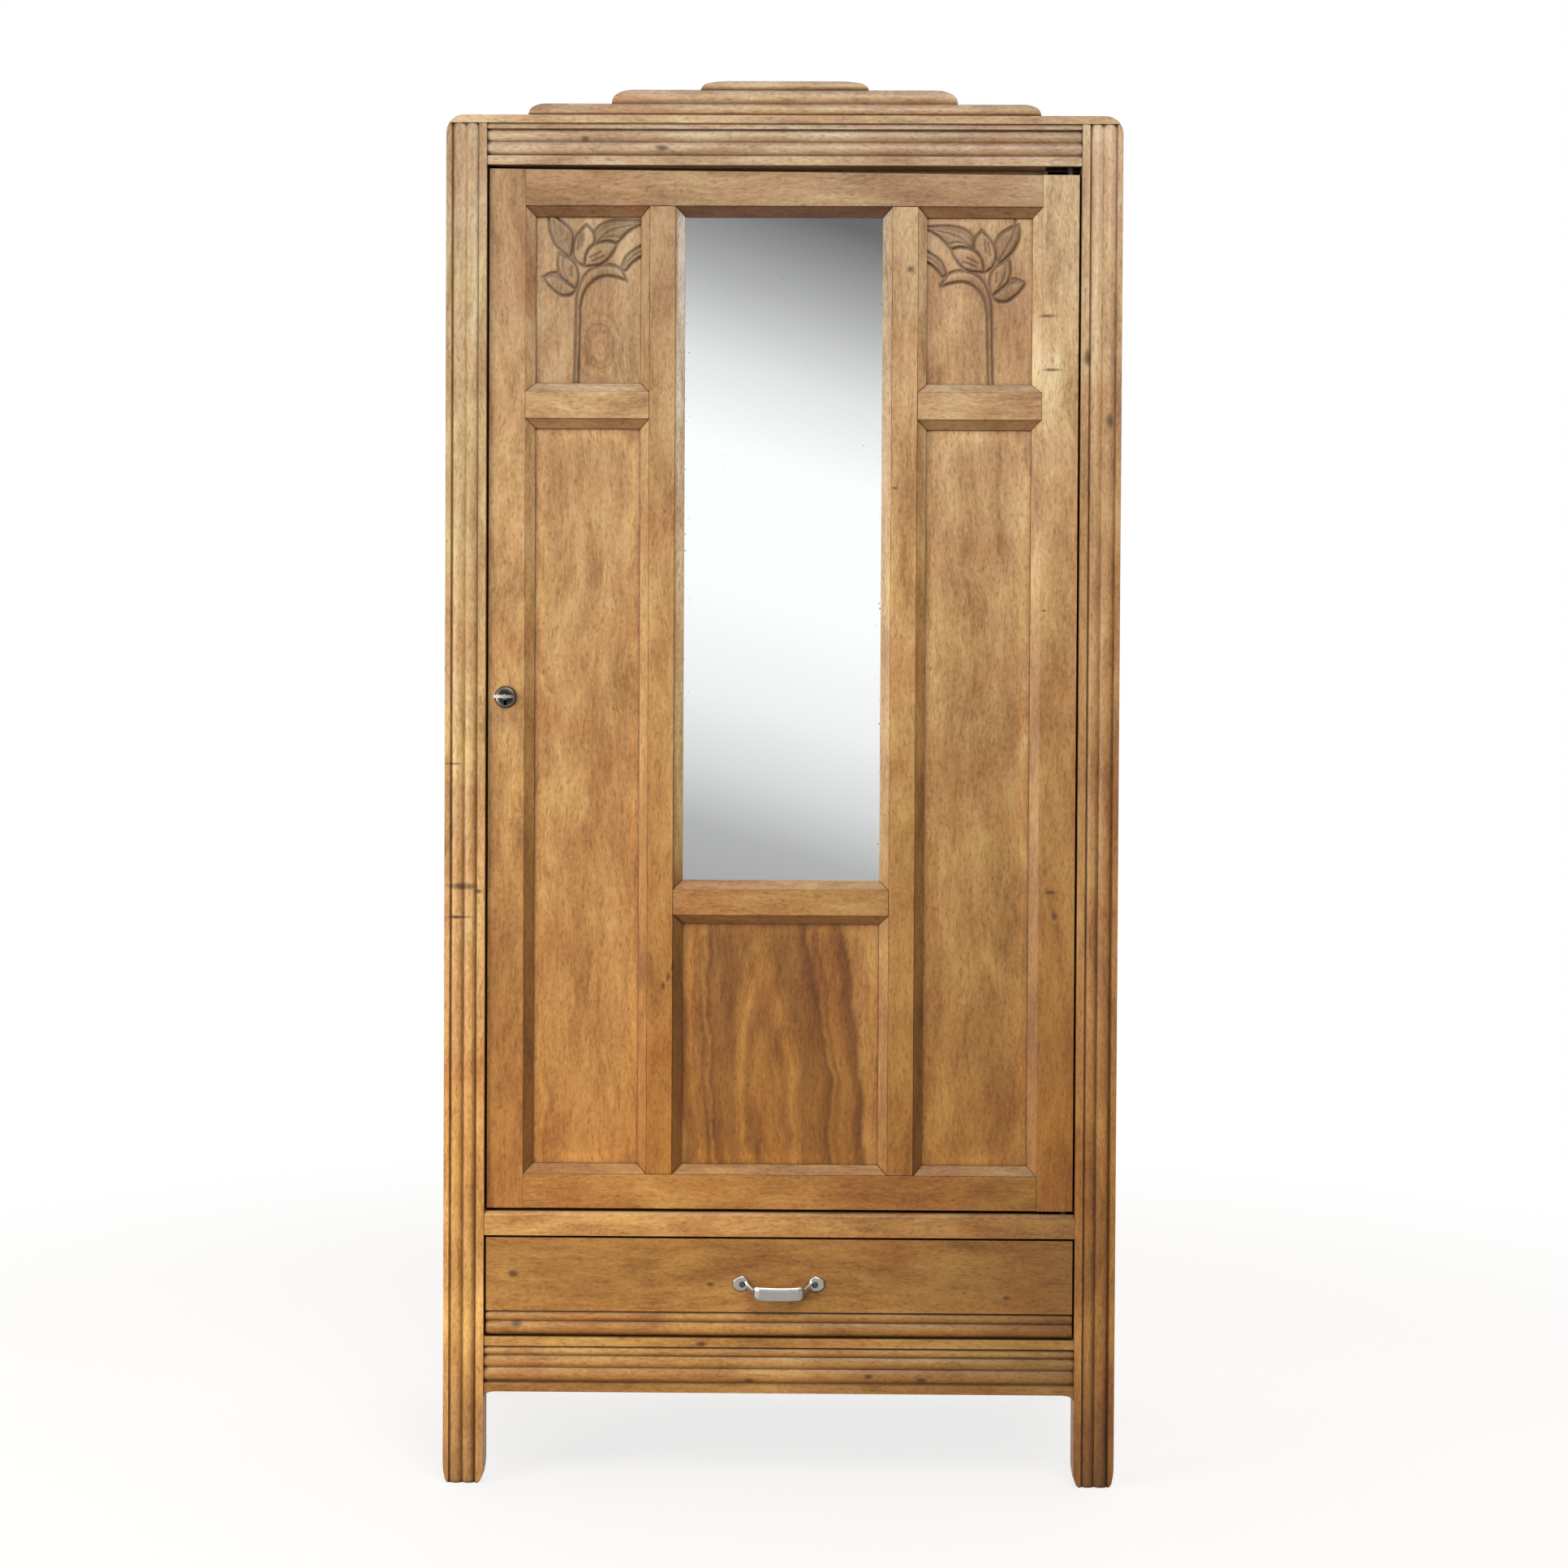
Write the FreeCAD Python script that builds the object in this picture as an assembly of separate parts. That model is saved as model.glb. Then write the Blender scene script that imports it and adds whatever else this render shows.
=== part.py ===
import FreeCAD, Part
import math
import os

# Oak wardrobe with one mirror door over one drawer, in millimetres.
# X runs to the right, Y to the back and Z up. The floor is z = 0.
# The origin is the centre of the base of the box round the whole object, key included.

V = FreeCAD.Vector

# Overall size
WIDTH = 950.0
HEIGHT = 1980.0
DEPTH = 500.0

# Heights of the front, from the floor up
APRON_BOTTOM = 130.0
APRON_TOP = 208.0
DIVIDER_BOTTOM = 352.5
DIVIDER_TOP = 386.0
FRIEZE_BOTTOM = 1862.0
POST_TOP = 1920.0
TOP_BOARD = 11.0

# Posts, which are also the legs
POST_WIDTH = 57.0
REAR_POST_DEPTH = 40.0
FOOT_ROUND_WIDTH = 8.0
FOOT_ROUND_HEIGHT = 30.0
CROWN_ROUND_WIDTH = 26.0
CROWN_ROUND_HEIGHT = 25.0

# Reeding: bands from the inner edge of a post outwards, and from the lower edge of a rail upwards
GROOVE_DEPTH = 3.6
GROOVE_HALF = 1.7
POST_BANDS = [("flat", 12.0), ("reed", 17.2), ("reed", 18.8), ("flat", 9.0)]
FRIEZE_BANDS = [("flat", 14.0), ("reed", 18.0), ("reed", 17.0), ("flat", 9.0)]
APRON_BANDS = [("flat", 13.5), ("reed", 19.8), ("reed", 17.3), ("reed", 13.0), ("flat", 14.4)]
DRAWER_BANDS = [("reed", 18.8), ("reed", 14.4), ("flat", 105.3)]

# Crest tiers: half width, height, width of the curved end
CREST_TIERS = [(360.0, 17.0, 26.0), (243.0, 19.5, 32.0), (118.0, 12.5, 46.0)]
CREST_THICKNESS = 24.0
CREST_REED_DEPTH = 4.0

# Front rails
RAIL_SETBACK = 2.0
DIVIDER_SETBACK = 1.0
BOARD_OVERHANG = 1.0
DIVIDER_ROUND = 6.0
DRAWER_SETBACK = 3.0
CORNER_SWELL_WIDTH = 14.0
CORNER_SWELL_HEIGHT = 9.0
CORNER_SWELL_LIP = 0.4

# Door
DOOR_SETBACK = 8.0
DOOR_THICKNESS = 27.0
DOOR_GAP = 3.0
DOOR_TOP_GAP_LEFT = 4.0
DOOR_TOP_GAP_RIGHT = 11.0
DOOR_BOTTOM_GAP = 4.0
STILE_WIDTH = 51.0
TOP_RAIL_BOTTOM = 1806.0
BOTTOM_RAIL_HEIGHT = 49.0
MUNTIN_WIDTH = 36.5
MID_RAIL_HEIGHT = 38.0
MIRROR_RAIL_HEIGHT = 36.0
MIRROR_HALF_WIDTH = 152.5
MID_RAIL_BOTTOM = 1507.5
MIRROR_RAIL_BOTTOM = 807.5
MOULDING_WIDTH = 13.0
MOULDING_DEPTH = 12.0
MOULDING_QUIRK = 1.0
PANEL_SETBACK = 14.5
PANEL_THICKNESS = 7.0
PANEL_TONGUE = 8.0
GLASS_THICKNESS = 4.0
MIRROR_BACK_THICKNESS = 3.0
STILE_TENON = 28.0
MUNTIN_TENON = 14.0
TENON_THICKNESS = 9.0
TENON_SHOULDER = 5.0
TENON_SETBACK = 14.0

# Door pivots
PIVOT_FROM_EDGE = 12.0
PIVOT_FROM_FRONT = 6.0
PIN_RADIUS = 3.0
PIN_CLEARANCE = 0.08
PIN_HOLE_IN_WOOD = 3.4
PIN_ENGAGEMENT = 11.0
PIN_END_GAP = 2.0
PLATE_THICKNESS = 2.5
PLATE_LENGTH = 50.0
PLATE_DEPTH = 20.0
FRAME_PLATE_OFFSET = 4.0
DOOR_PLATE_SETBACK = 1.5
COLLAR_RADIUS = 5.0
COLLAR_GAP = 0.3

# Lock and key
LOCK_HEIGHT = 1114.0
KEY_FROM_EDGE = 25.0
LOCK_CASE_WIDTH = 48.0
LOCK_CASE_BELOW = 30.0
LOCK_CASE_ABOVE = 38.0
LOCK_CASE_DEPTH = 13.0
LOCK_WALL = 1.5
BOLT_THROW = 10.0
BOLT_LENGTH = 40.0
BOLT_HEIGHT = 14.0
BOLT_THICKNESS = 8.0
BOLT_ABOVE_KEY = 13.0
BOLT_CLEARANCE = 0.4
TALON_DEPTH = 3.0
STRIKE_CLEARANCE = 1.0
STRIKE_END_GAP = 3.0
STRIKE_HALF_HEIGHT = 28.0
STRIKE_DEPTH = 17.0
STRIKE_FROM_BACK = 1.0
KEY_SHANK_RADIUS = 2.7
KEY_BIT_REACH = 10.5
KEY_BIT_LENGTH = 7.0
KEY_BIT_HALF_THICKNESS = 1.3
KEY_NOTCH_DEPTH = 3.5
KEY_NOTCH_WIDTH = 1.4
KEY_COLLAR_RADIUS = 4.0
KEY_COLLAR_LENGTH = 3.0
KEY_COLLAR_OUT = 15.0
KEY_BOW_WIDTH = 4.5
KEY_BOW_HALF_WIDTH = 15.0
KEY_BOW_HALF_LENGTH = 11.0
KEY_BOW_THICKNESS = 4.0
KEY_REACH = 44.0
KEYHOLE_RADIUS = 3.6
KEYHOLE_HALF_SLOT = 2.0
KEYHOLE_END_GAP = 1.0
KEY_WAY_CLEARANCE = 0.6
ESCUTCHEON_RADIUS = 15.5
ESCUTCHEON_HEIGHT = 6.0
ESCUTCHEON_RIM = 1.2
ESCUTCHEON_FLAT_SHARE = 0.55

# Side and back frames
SIDE_SETBACK = 4.0
FRAME_THICKNESS = 24.0
SIDE_PANEL_SETBACK = 12.0
SIDE_PANEL_THICKNESS = 8.0
SIDE_MID_BOTTOM = 345.0
SIDE_MID_TOP = 405.0
BACK_RAIL_THICKNESS = 22.0
BACK_PANEL_THICKNESS = 5.0
BACK_PANEL_SETBACK = 7.0
BACK_MUNTIN_HALF_WIDTH = 30.0
FRAME_TENON = 26.0

# Inside
FLOOR_DROP = 2.0
FLOOR_TONGUE = 6.0
BOARD_THICKNESS = 16.0
SHELF_TOP = 1650.0
BEARER_THICKNESS = 22.0
BEARER_HEIGHT = 70.0
HANGING_RAIL_RADIUS = 12.5
HANGING_RAIL_DROP = 6.0
SOCKET_CLEARANCE = 0.5
SOCKET_WALL = 3.5
SOCKET_PLATE_RADIUS = 23.0
SOCKET_PLATE_THICKNESS = 3.0
SOCKET_DEPTH = 14.0
STOP_WIDTH = 12.0
STOP_BEHIND_POST = 18.0
STOP_DEPTH = 15.0
STOP_DROP = 18.0
STOP_GAP = 0.5
STOP_FROM_PIVOT = 30.0
TOP_STOP_HEIGHT = 45.0

# Drawer
DRAWER_GAP = 3.0
DRAWER_LOWER_GAP = 2.5
DRAWER_FRONT_THICKNESS = 20.0
DRAWER_SIDE_THICKNESS = 12.0
DRAWER_SIDE_GAP = 5.0
DRAWER_SIDE_HEIGHT = 120.0
DRAWER_LENGTH = 442.0
DRAWER_BOTTOM_THICKNESS = 5.0
DRAWER_BOTTOM_LIFT = 9.0
DRAWER_GROOVE = 6.0
DRAWER_BACK_DROP = 6.0
FRONT_TAIL_LENGTH = 12.0
TAILS_LIFT = 3.0
TAIL_COUNT = 4
TAIL_WIDE = 19.0
TAIL_NARROW = 14.0
RUNNER_THICKNESS = 22.0
RUNNER_WIDTH = 62.0
RUNNER_GAP = 0.4
GUIDE_HEIGHT = 35.0
GUIDE_GAP = 1.5

# Drawer handle, a bow between two lugs
HANDLE_HEIGHT = 285.0
HANDLE_SPACING = 103.0
LUG_REACH = 12.2
LUG_PEAK = 11.5
LUG_FOOT = 8.5
LUG_THICKNESS = 3.0
LUG_HOLE_RADIUS = 2.4
LUG_SIDE_TOP = 5.0
LUG_SIDE_FOOT = 3.0
GRIP_HALF_WIDTH = 33.5
GRIP_END = 2.5
GRIP_DROP = 8.0
GRIP_SAG = 1.5
GRIP_PROJECTION = 22.0
GRIP_HALF_HEIGHT = 9.8
GRIP_THICKNESS = 6.0
GRIP_SHOULDER = 6.0
NECK_HALF_HEIGHT = 5.0
NECK_THICKNESS = 3.6
NECK_ROOT = 49.0
BOW_STATIONS = [48.0, 44.5, 41.5, 38.5, 36.0, 34.5, 33.0, 31.0, 27.0, 18.0, 9.0]
BOW_ROUNDING = [(1.0, 0.5), (0.7, 0.88), (0.0, 1.0)]
SCREW_HEAD_RADIUS = 4.2
SCREW_HEAD_HEIGHT = 1.8
SCREW_HEAD_RIM = 0.4
SCREW_HEAD_FLAT = 1.6
SCREW_LENGTH = 16.0
SCREW_CLEARANCE = 0.1
HEAD_CLEARANCE = 0.2

# Points that the round outline of a lug runs through, from its screw outwards and up
LUG_INNER_SHOULDER = (-5.0, 8.5)
LUG_OUTER_SHOULDER = (7.0, 9.0)
LUG_OUTER_FOOT = (7.0, -7.5)
LUG_INNER_FOOT = (-6.0, -6.0)

# Places that follow from the sizes
HALF = WIDTH / 2
OPENING = HALF - POST_WIDTH
FRONT = (KEY_REACH - DOOR_SETBACK - DEPTH) / 2
BACK = FRONT + DEPTH
REAR_POST_FRONT = BACK - REAR_POST_DEPTH
TOP = POST_TOP + TOP_BOARD
RAIL_FRONT = FRONT + RAIL_SETBACK
DOOR_FRONT = FRONT + DOOR_SETBACK
DOOR_BACK = DOOR_FRONT + DOOR_THICKNESS
STOP_FRONT = DOOR_BACK + STOP_GAP
STOP_BACK = STOP_FRONT + STOP_DEPTH
POST_BACK = STOP_FRONT
DOOR_HALF = OPENING - DOOR_GAP
DOOR_BOTTOM = DIVIDER_TOP + DOOR_BOTTOM_GAP
DOOR_TOP_LEFT = FRIEZE_BOTTOM - DOOR_TOP_GAP_LEFT
DOOR_TOP_RIGHT = FRIEZE_BOTTOM - DOOR_TOP_GAP_RIGHT
STILE_INNER = DOOR_HALF - STILE_WIDTH
MUNTIN_OUTER = MIRROR_HALF_WIDTH + MUNTIN_WIDTH
BOTTOM_RAIL_TOP = DOOR_BOTTOM + BOTTOM_RAIL_HEIGHT
MID_RAIL_TOP = MID_RAIL_BOTTOM + MID_RAIL_HEIGHT
MIRROR_RAIL_TOP = MIRROR_RAIL_BOTTOM + MIRROR_RAIL_HEIGHT
PANEL_FRONT = DOOR_FRONT + PANEL_SETBACK
PIVOT_X = DOOR_HALF - PIVOT_FROM_EDGE
PIVOT_Y = DOOR_FRONT + PIVOT_FROM_FRONT
KEY_X = KEY_FROM_EDGE - DOOR_HALF
LOCK_CASE_FRONT = DOOR_BACK - LOCK_CASE_DEPTH
BOLT_FRONT = LOCK_CASE_FRONT + (LOCK_CASE_DEPTH - BOLT_THICKNESS) / 2
SIDE_OUTER = HALF - SIDE_SETBACK
SIDE_INNER = SIDE_OUTER - FRAME_THICKNESS
SIDE_PANEL_OUTER = HALF - SIDE_PANEL_SETBACK
BACK_RAIL_BACK = BACK - RAIL_SETBACK
BACK_RAIL_FRONT = BACK_RAIL_BACK - BACK_RAIL_THICKNESS
BACK_PANEL_FRONT = BACK_RAIL_FRONT + BACK_PANEL_SETBACK
FLOOR_TOP = DIVIDER_TOP - FLOOR_DROP
SHELF_BOTTOM = SHELF_TOP - BOARD_THICKNESS
SHELF_FRONT = STOP_BACK
RAIL_Y = (DOOR_BACK + BACK_RAIL_FRONT) / 2
RAIL_Z = SHELF_BOTTOM - BEARER_HEIGHT / 2 - HANGING_RAIL_DROP
DRAWER_HALF = OPENING - DRAWER_GAP
DRAWER_BOX_HALF = OPENING - DRAWER_SIDE_GAP
DRAWER_FRONT = FRONT + DRAWER_SETBACK
DRAWER_FACE_BACK = DRAWER_FRONT + DRAWER_FRONT_THICKNESS
DRAWER_LOW = APRON_TOP + DRAWER_LOWER_GAP
DRAWER_BACK = DRAWER_FRONT + DRAWER_LENGTH
DRAWER_SIDE_LOW = APRON_TOP + RUNNER_GAP
DRAWER_SIDE_HIGH = DRAWER_SIDE_LOW + DRAWER_SIDE_HEIGHT
DRAWER_PANEL_LOW = DRAWER_SIDE_LOW + DRAWER_BOTTOM_LIFT
DRAWER_PANEL_HIGH = DRAWER_PANEL_LOW + DRAWER_BOTTOM_THICKNESS

# Turns of a quarter circle, in degrees, at which a small turned cap changes its slope
CAP_SLOPES = [45, 90]

# How far a cutter runs past the wood that it cuts
PAST = 10.0


def box(x0, x1, y0, y1, z0, z1):
    """A box between two opposite corners."""
    return Part.makeBox(x1 - x0, y1 - y0, z1 - z0, V(x0, y0, z0))


def rod(x, y, z, radius, length, direction):
    """A round bar that starts at a point."""
    return Part.makeCylinder(radius, length, V(x, y, z), V(*direction))


def mirrored(shape):
    """The same piece for the other side."""
    return shape.mirror(V(0, 0, 0), V(1, 0, 0))


def tidy(shape):
    """One clean solid without seams between the bodies that it was fused from."""
    return shape.removeSplitter().Solids[0]


def flat_plan(u, v):
    """Outline seen from above."""
    return V(u, v, 0)


def front_view(u, v):
    """Outline seen from the front."""
    return V(u, 0, v)


def side_view(u, v):
    """Outline seen from the side, given as height and depth."""
    return V(0, v, u)


class Outline:
    """A closed outline, drawn edge by edge and then drawn out to a solid."""

    def __init__(self, view, u, v):
        self.view = view
        self.start = (u, v)
        self.at = (u, v)
        self.edges = []

    def line(self, u, v):
        self.edges.append(Part.makeLine(self.view(*self.at), self.view(u, v)))
        self.at = (u, v)

    def arc(self, middle, end):
        points = [self.view(*self.at), self.view(*middle), self.view(*end)]
        self.edges.append(Part.Arc(*points).toShape())
        self.at = end

    def round(self, corner, end):
        """A quarter of an ellipse that leaves and meets its neighbours along the corner's sides."""
        start = V(*self.at, 0)
        finish = V(*end, 0)
        centre = start + finish - V(*corner, 0)
        points = []
        for turn in (22.5, 45.0, 67.5):
            angle = math.radians(turn)
            points.append(centre + (start - centre) * math.cos(angle) + (finish - centre) * math.sin(angle))
        self.arc((points[0].x, points[0].y), (points[1].x, points[1].y))
        self.arc((points[2].x, points[2].y), end)

    def reeded(self, bands, face):
        """Run along a reeded face from the present place; a groove lies between every two bands."""
        u = self.at[0]
        last = len(bands) - 1
        for number, (kind, width) in enumerate(bands):
            end = u + width
            if kind == "reed":
                self.arc((u + width / 2, face), (end, face + GROOVE_DEPTH))
            else:
                if number > 0:
                    self.line(u + GROOVE_HALF, face)
                if number < last:
                    self.line(end - GROOVE_HALF, face)
                    self.line(end, face + GROOVE_DEPTH)
                else:
                    self.line(end, face)
            u = end

    def solid(self, start, end):
        """Close the outline and draw it out along the axis that its view looks along."""
        if self.at != self.start:
            self.line(*self.start)
        across = self.view(1, 0).cross(self.view(0, 1))
        axis = V(abs(across.x), abs(across.y), abs(across.z))
        face = Part.Face(Part.Wire(self.edges))
        face.translate(axis * start)
        return face.extrude(axis * (end - start))


def panel_rect(rect, grow):
    """A rectangle (x0, x1, z0, z1) grown on all sides, or shrunk by a negative amount."""
    x0, x1, z0, z1 = rect
    return (x0 - grow, x1 + grow, z0 - grow, z1 + grow)


def slab(rect, y0, y1):
    """A rectangle seen from the front, made thick."""
    x0, x1, z0, z1 = rect
    return box(x0, x1, y0, y1, z0, z1)


def flipped(rect):
    """The same rectangle on the other side of the middle."""
    x0, x1, z0, z1 = rect
    return (-x1, -x0, z0, z1)


def crown(inner):
    """The room that rounded top corners leave, from the floor to the top board."""
    side = TOP - CROWN_ROUND_HEIGHT
    outline = Outline(front_view, inner, 0)
    outline.line(HALF, 0)
    outline.line(HALF, side)
    outline.round((HALF, TOP), (HALF - CROWN_ROUND_WIDTH, TOP))
    outline.line(inner, TOP)
    return outline.solid(FRONT - PAST, BACK + PAST)


def foot_room():
    """The room that a leg with rounded lower corners leaves."""
    outline = Outline(front_view, OPENING + FOOT_ROUND_WIDTH, 0)
    outline.line(HALF - FOOT_ROUND_WIDTH, 0)
    outline.round((HALF, 0), (HALF, FOOT_ROUND_HEIGHT))
    outline.line(HALF, TOP)
    outline.line(OPENING, TOP)
    outline.line(OPENING, FOOT_ROUND_HEIGHT)
    outline.round((OPENING, 0), (OPENING + FOOT_ROUND_WIDTH, 0))
    return outline.solid(FRONT - PAST, BACK + PAST)


def front_post():
    """Right front post and leg: reeded face, square back, rounded foot and top corner."""
    outline = Outline(flat_plan, OPENING, FRONT)
    outline.reeded(POST_BANDS, FRONT)
    outline.line(HALF, POST_BACK)
    outline.line(OPENING, POST_BACK)
    post = outline.solid(0, POST_TOP)
    return post.common(foot_room()).common(crown(OPENING - PAST))


def rear_post():
    """Right rear post and leg, plain."""
    post = box(OPENING, HALF, REAR_POST_FRONT, BACK, 0, POST_TOP)
    return post.common(foot_room()).common(crown(OPENING - PAST))


def reeded_rail(bottom, bands, face, back, half_length):
    """A rail along X whose front is reeded, from its lower edge up."""
    height = sum(width for kind, width in bands)
    first_is_reed = bands[0][0] == "reed"
    start = face + GROOVE_DEPTH if first_is_reed else face
    outline = Outline(side_view, bottom, start)
    outline.reeded(bands, face)
    outline.line(bottom + height, back)
    outline.line(bottom, back)
    return outline.solid(-half_length, half_length)


def rail_tenons(bottom, top, y0, half_length):
    """The pair of tenons at the ends of a front or back rail."""
    low = bottom + TENON_SHOULDER
    high = top - TENON_SHOULDER
    y1 = y0 + TENON_THICKNESS
    right = box(half_length, half_length + FRAME_TENON, y0, y1, low, high)
    return [mirrored(right), right]


def crest_board():
    """Stepped crest: three reeded tiers with curved ends, cut from one board."""
    stepped = Outline(front_view, 0, TOP)
    stepped.line(-CREST_TIERS[0][0], TOP)
    z = TOP
    for number, (half, height, end) in enumerate(CREST_TIERS):
        if number > 0:
            stepped.line(-half, z)
        z = z + height
        stepped.round((-half, z), (end - half, z))
    stepped.line(0, z)
    left = stepped.solid(FRONT, FRONT + CREST_THICKNESS)
    whole = tidy(left.fuse(mirrored(left)))
    profile = Outline(side_view, TOP, FRONT + CREST_REED_DEPTH)
    z = TOP
    for half, height, end in CREST_TIERS:
        profile.arc((z + height / 2, FRONT), (z + height, FRONT + CREST_REED_DEPTH))
        z = z + height
    profile.line(z, FRONT + CREST_THICKNESS)
    profile.line(TOP, FRONT + CREST_THICKNESS)
    return whole.common(profile.solid(-HALF, HALF))


def cornice_board():
    """Top board over the whole wardrobe, its ends rounded with the posts' top corners."""
    board = box(-HALF, HALF, FRONT - BOARD_OVERHANG, BACK, POST_TOP, TOP)
    right = board.common(crown(0))
    return tidy(right.fuse(mirrored(right)))


def divider_rail():
    """Plain rail between door and drawer, its upper front edge rounded."""
    face = FRONT + DIVIDER_SETBACK
    outline = Outline(side_view, DIVIDER_BOTTOM, face)
    outline.line(DIVIDER_TOP - DIVIDER_ROUND, face)
    outline.round((DIVIDER_TOP, face), (DIVIDER_TOP, face + DIVIDER_ROUND))
    outline.line(DIVIDER_TOP, STOP_FRONT)
    outline.line(DIVIDER_BOTTOM, STOP_FRONT)
    return outline.solid(-OPENING, OPENING)


def corner_swell():
    """Small hollow curve that leads the apron's lower edge into the right leg."""
    outline = Outline(front_view, OPENING, APRON_BOTTOM)
    outline.line(OPENING - CORNER_SWELL_WIDTH, APRON_BOTTOM)
    lip = APRON_BOTTOM - CORNER_SWELL_LIP
    outline.line(OPENING - CORNER_SWELL_WIDTH, lip)
    outline.round((OPENING, lip), (OPENING, APRON_BOTTOM - CORNER_SWELL_HEIGHT))
    return outline.solid(RAIL_FRONT, RAIL_FRONT + FRAME_THICKNESS)


def apron_rail():
    """Reeded rail under the drawer, with a curve into each leg."""
    rail = reeded_rail(APRON_BOTTOM, APRON_BANDS, RAIL_FRONT, RAIL_FRONT + FRAME_THICKNESS, OPENING)
    swell = corner_swell()
    return rail.fuse([swell, mirrored(swell)])


def side_rail(z0, z1):
    """A rail of the right side frame with its two tenons, and the tenons by themselves."""
    rail = box(SIDE_INNER, SIDE_OUTER, POST_BACK, REAR_POST_FRONT, z0, z1)
    x0 = SIDE_OUTER - (FRAME_THICKNESS + TENON_THICKNESS) / 2
    x1 = x0 + TENON_THICKNESS
    low = z0 + TENON_SHOULDER
    high = z1 - TENON_SHOULDER
    front = box(x0, x1, POST_BACK - FRAME_TENON, POST_BACK, low, high)
    rear = box(x0, x1, REAR_POST_FRONT, REAR_POST_FRONT + FRAME_TENON, low, high)
    return tidy(rail.fuse([front, rear])), [front, rear]


def side_panel(z0, z1):
    """A thin panel let into grooves of the right side frame."""
    x0 = SIDE_PANEL_OUTER - SIDE_PANEL_THICKNESS
    front = POST_BACK - PANEL_TONGUE
    rear = REAR_POST_FRONT + PANEL_TONGUE
    return box(x0, SIDE_PANEL_OUTER, front, rear, z0 - PANEL_TONGUE, z1 + PANEL_TONGUE)


def inner_board(top, wing):
    """A board across the inside, set round the posts, with wings out to the side frames."""
    z0 = top - BOARD_THICKNESS
    middle = box(-OPENING, OPENING, STOP_FRONT, BACK_RAIL_FRONT, z0, top)
    wings = box(-wing, wing, POST_BACK, REAR_POST_FRONT, z0, top)
    return tidy(middle.fuse(wings))


def shelf_board():
    """Hat shelf; it starts behind the door stop, clear of the sweep of the door's rear corner."""
    board = inner_board(SHELF_TOP, SIDE_INNER)
    return board.cut(box(-HALF, HALF, FRONT, SHELF_FRONT, SHELF_BOTTOM, SHELF_TOP))


def shelf_bearer():
    """Right bearer of the hat shelf, let in between the two right posts."""
    low = SHELF_BOTTOM - BEARER_HEIGHT
    return box(OPENING, OPENING + BEARER_THICKNESS, POST_BACK, REAR_POST_FRONT, low, SHELF_BOTTOM)


def rail_socket():
    """Right socket of the hanging rail: a round plate with a cup that is open at the top."""
    inner = HANGING_RAIL_RADIUS + SOCKET_CLEARANCE
    z = RAIL_Z + SOCKET_CLEARANCE
    plate_start = OPENING - SOCKET_PLATE_THICKNESS
    cup_start = plate_start - SOCKET_DEPTH
    cup_top = z + inner + SOCKET_WALL
    plate = rod(plate_start, RAIL_Y, z, SOCKET_PLATE_RADIUS, SOCKET_PLATE_THICKNESS, (1, 0, 0))
    cup = rod(cup_start, RAIL_Y, z, inner + SOCKET_WALL, SOCKET_DEPTH, (1, 0, 0))
    hollow = rod(cup_start, RAIL_Y, z, inner, SOCKET_DEPTH, (1, 0, 0))
    mouth = box(cup_start, plate_start, RAIL_Y - inner, RAIL_Y + inner, z, cup_top)
    return tidy(plate.fuse(cup.cut(hollow).cut(mouth)))


def hanging_rail():
    """Round rail that lies in the two sockets."""
    half = OPENING - SOCKET_PLATE_THICKNESS
    return rod(-half, RAIL_Y, RAIL_Z, HANGING_RAIL_RADIUS, 2 * half, (1, 0, 0))


def drawer_runner():
    """Right drawer runner: an angle whose flat carries the drawer and whose wall guides it."""
    outer = SIDE_INNER
    guide = DRAWER_BOX_HALF + GUIDE_GAP
    outline = Outline(front_view, outer - RUNNER_WIDTH, APRON_TOP - RUNNER_THICKNESS)
    outline.line(outer, APRON_TOP - RUNNER_THICKNESS)
    outline.line(outer, APRON_TOP + GUIDE_HEIGHT)
    outline.line(guide, APRON_TOP + GUIDE_HEIGHT)
    outline.line(guide, APRON_TOP)
    outline.line(outer - RUNNER_WIDTH, APRON_TOP)
    return outline.solid(POST_BACK, REAR_POST_FRONT)


def door_stops():
    """Strip behind the left post and strip behind the frieze, against which the door closes."""
    low = FRIEZE_BOTTOM - STOP_DROP
    outer = -OPENING - STOP_BEHIND_POST
    lock_side = box(outer, STOP_WIDTH - OPENING, STOP_FRONT, STOP_BACK, FLOOR_TOP, low)
    over = box(outer, PIVOT_X - STOP_FROM_PIVOT, STOP_FRONT, STOP_BACK, low, low + TOP_STOP_HEIGHT)
    return [lock_side, over]


def frame_pivots():
    """Lower and upper pivot plates of the carcass, each with its collar and pin."""
    x0 = OPENING - PLATE_LENGTH
    y0 = PIVOT_Y - PLATE_DEPTH / 2 + FRAME_PLATE_OFFSET
    y1 = y0 + PLATE_DEPTH
    plates = []
    for z, plate_end, gap, up in ((DIVIDER_TOP, DIVIDER_TOP - PLATE_THICKNESS, DOOR_BOTTOM_GAP, 1),
                                  (FRIEZE_BOTTOM, FRIEZE_BOTTOM + PLATE_THICKNESS, DOOR_TOP_GAP_RIGHT, -1)):
        plate = box(x0, OPENING, y0, y1, min(z, plate_end), max(z, plate_end))
        collar = rod(PIVOT_X, PIVOT_Y, z, COLLAR_RADIUS, gap - COLLAR_GAP, (0, 0, up))
        pin = rod(PIVOT_X, PIVOT_Y, z, PIN_RADIUS, gap + PIN_ENGAGEMENT, (0, 0, up))
        plates.append(tidy(plate.fuse([collar, pin])))
    return plates


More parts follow.
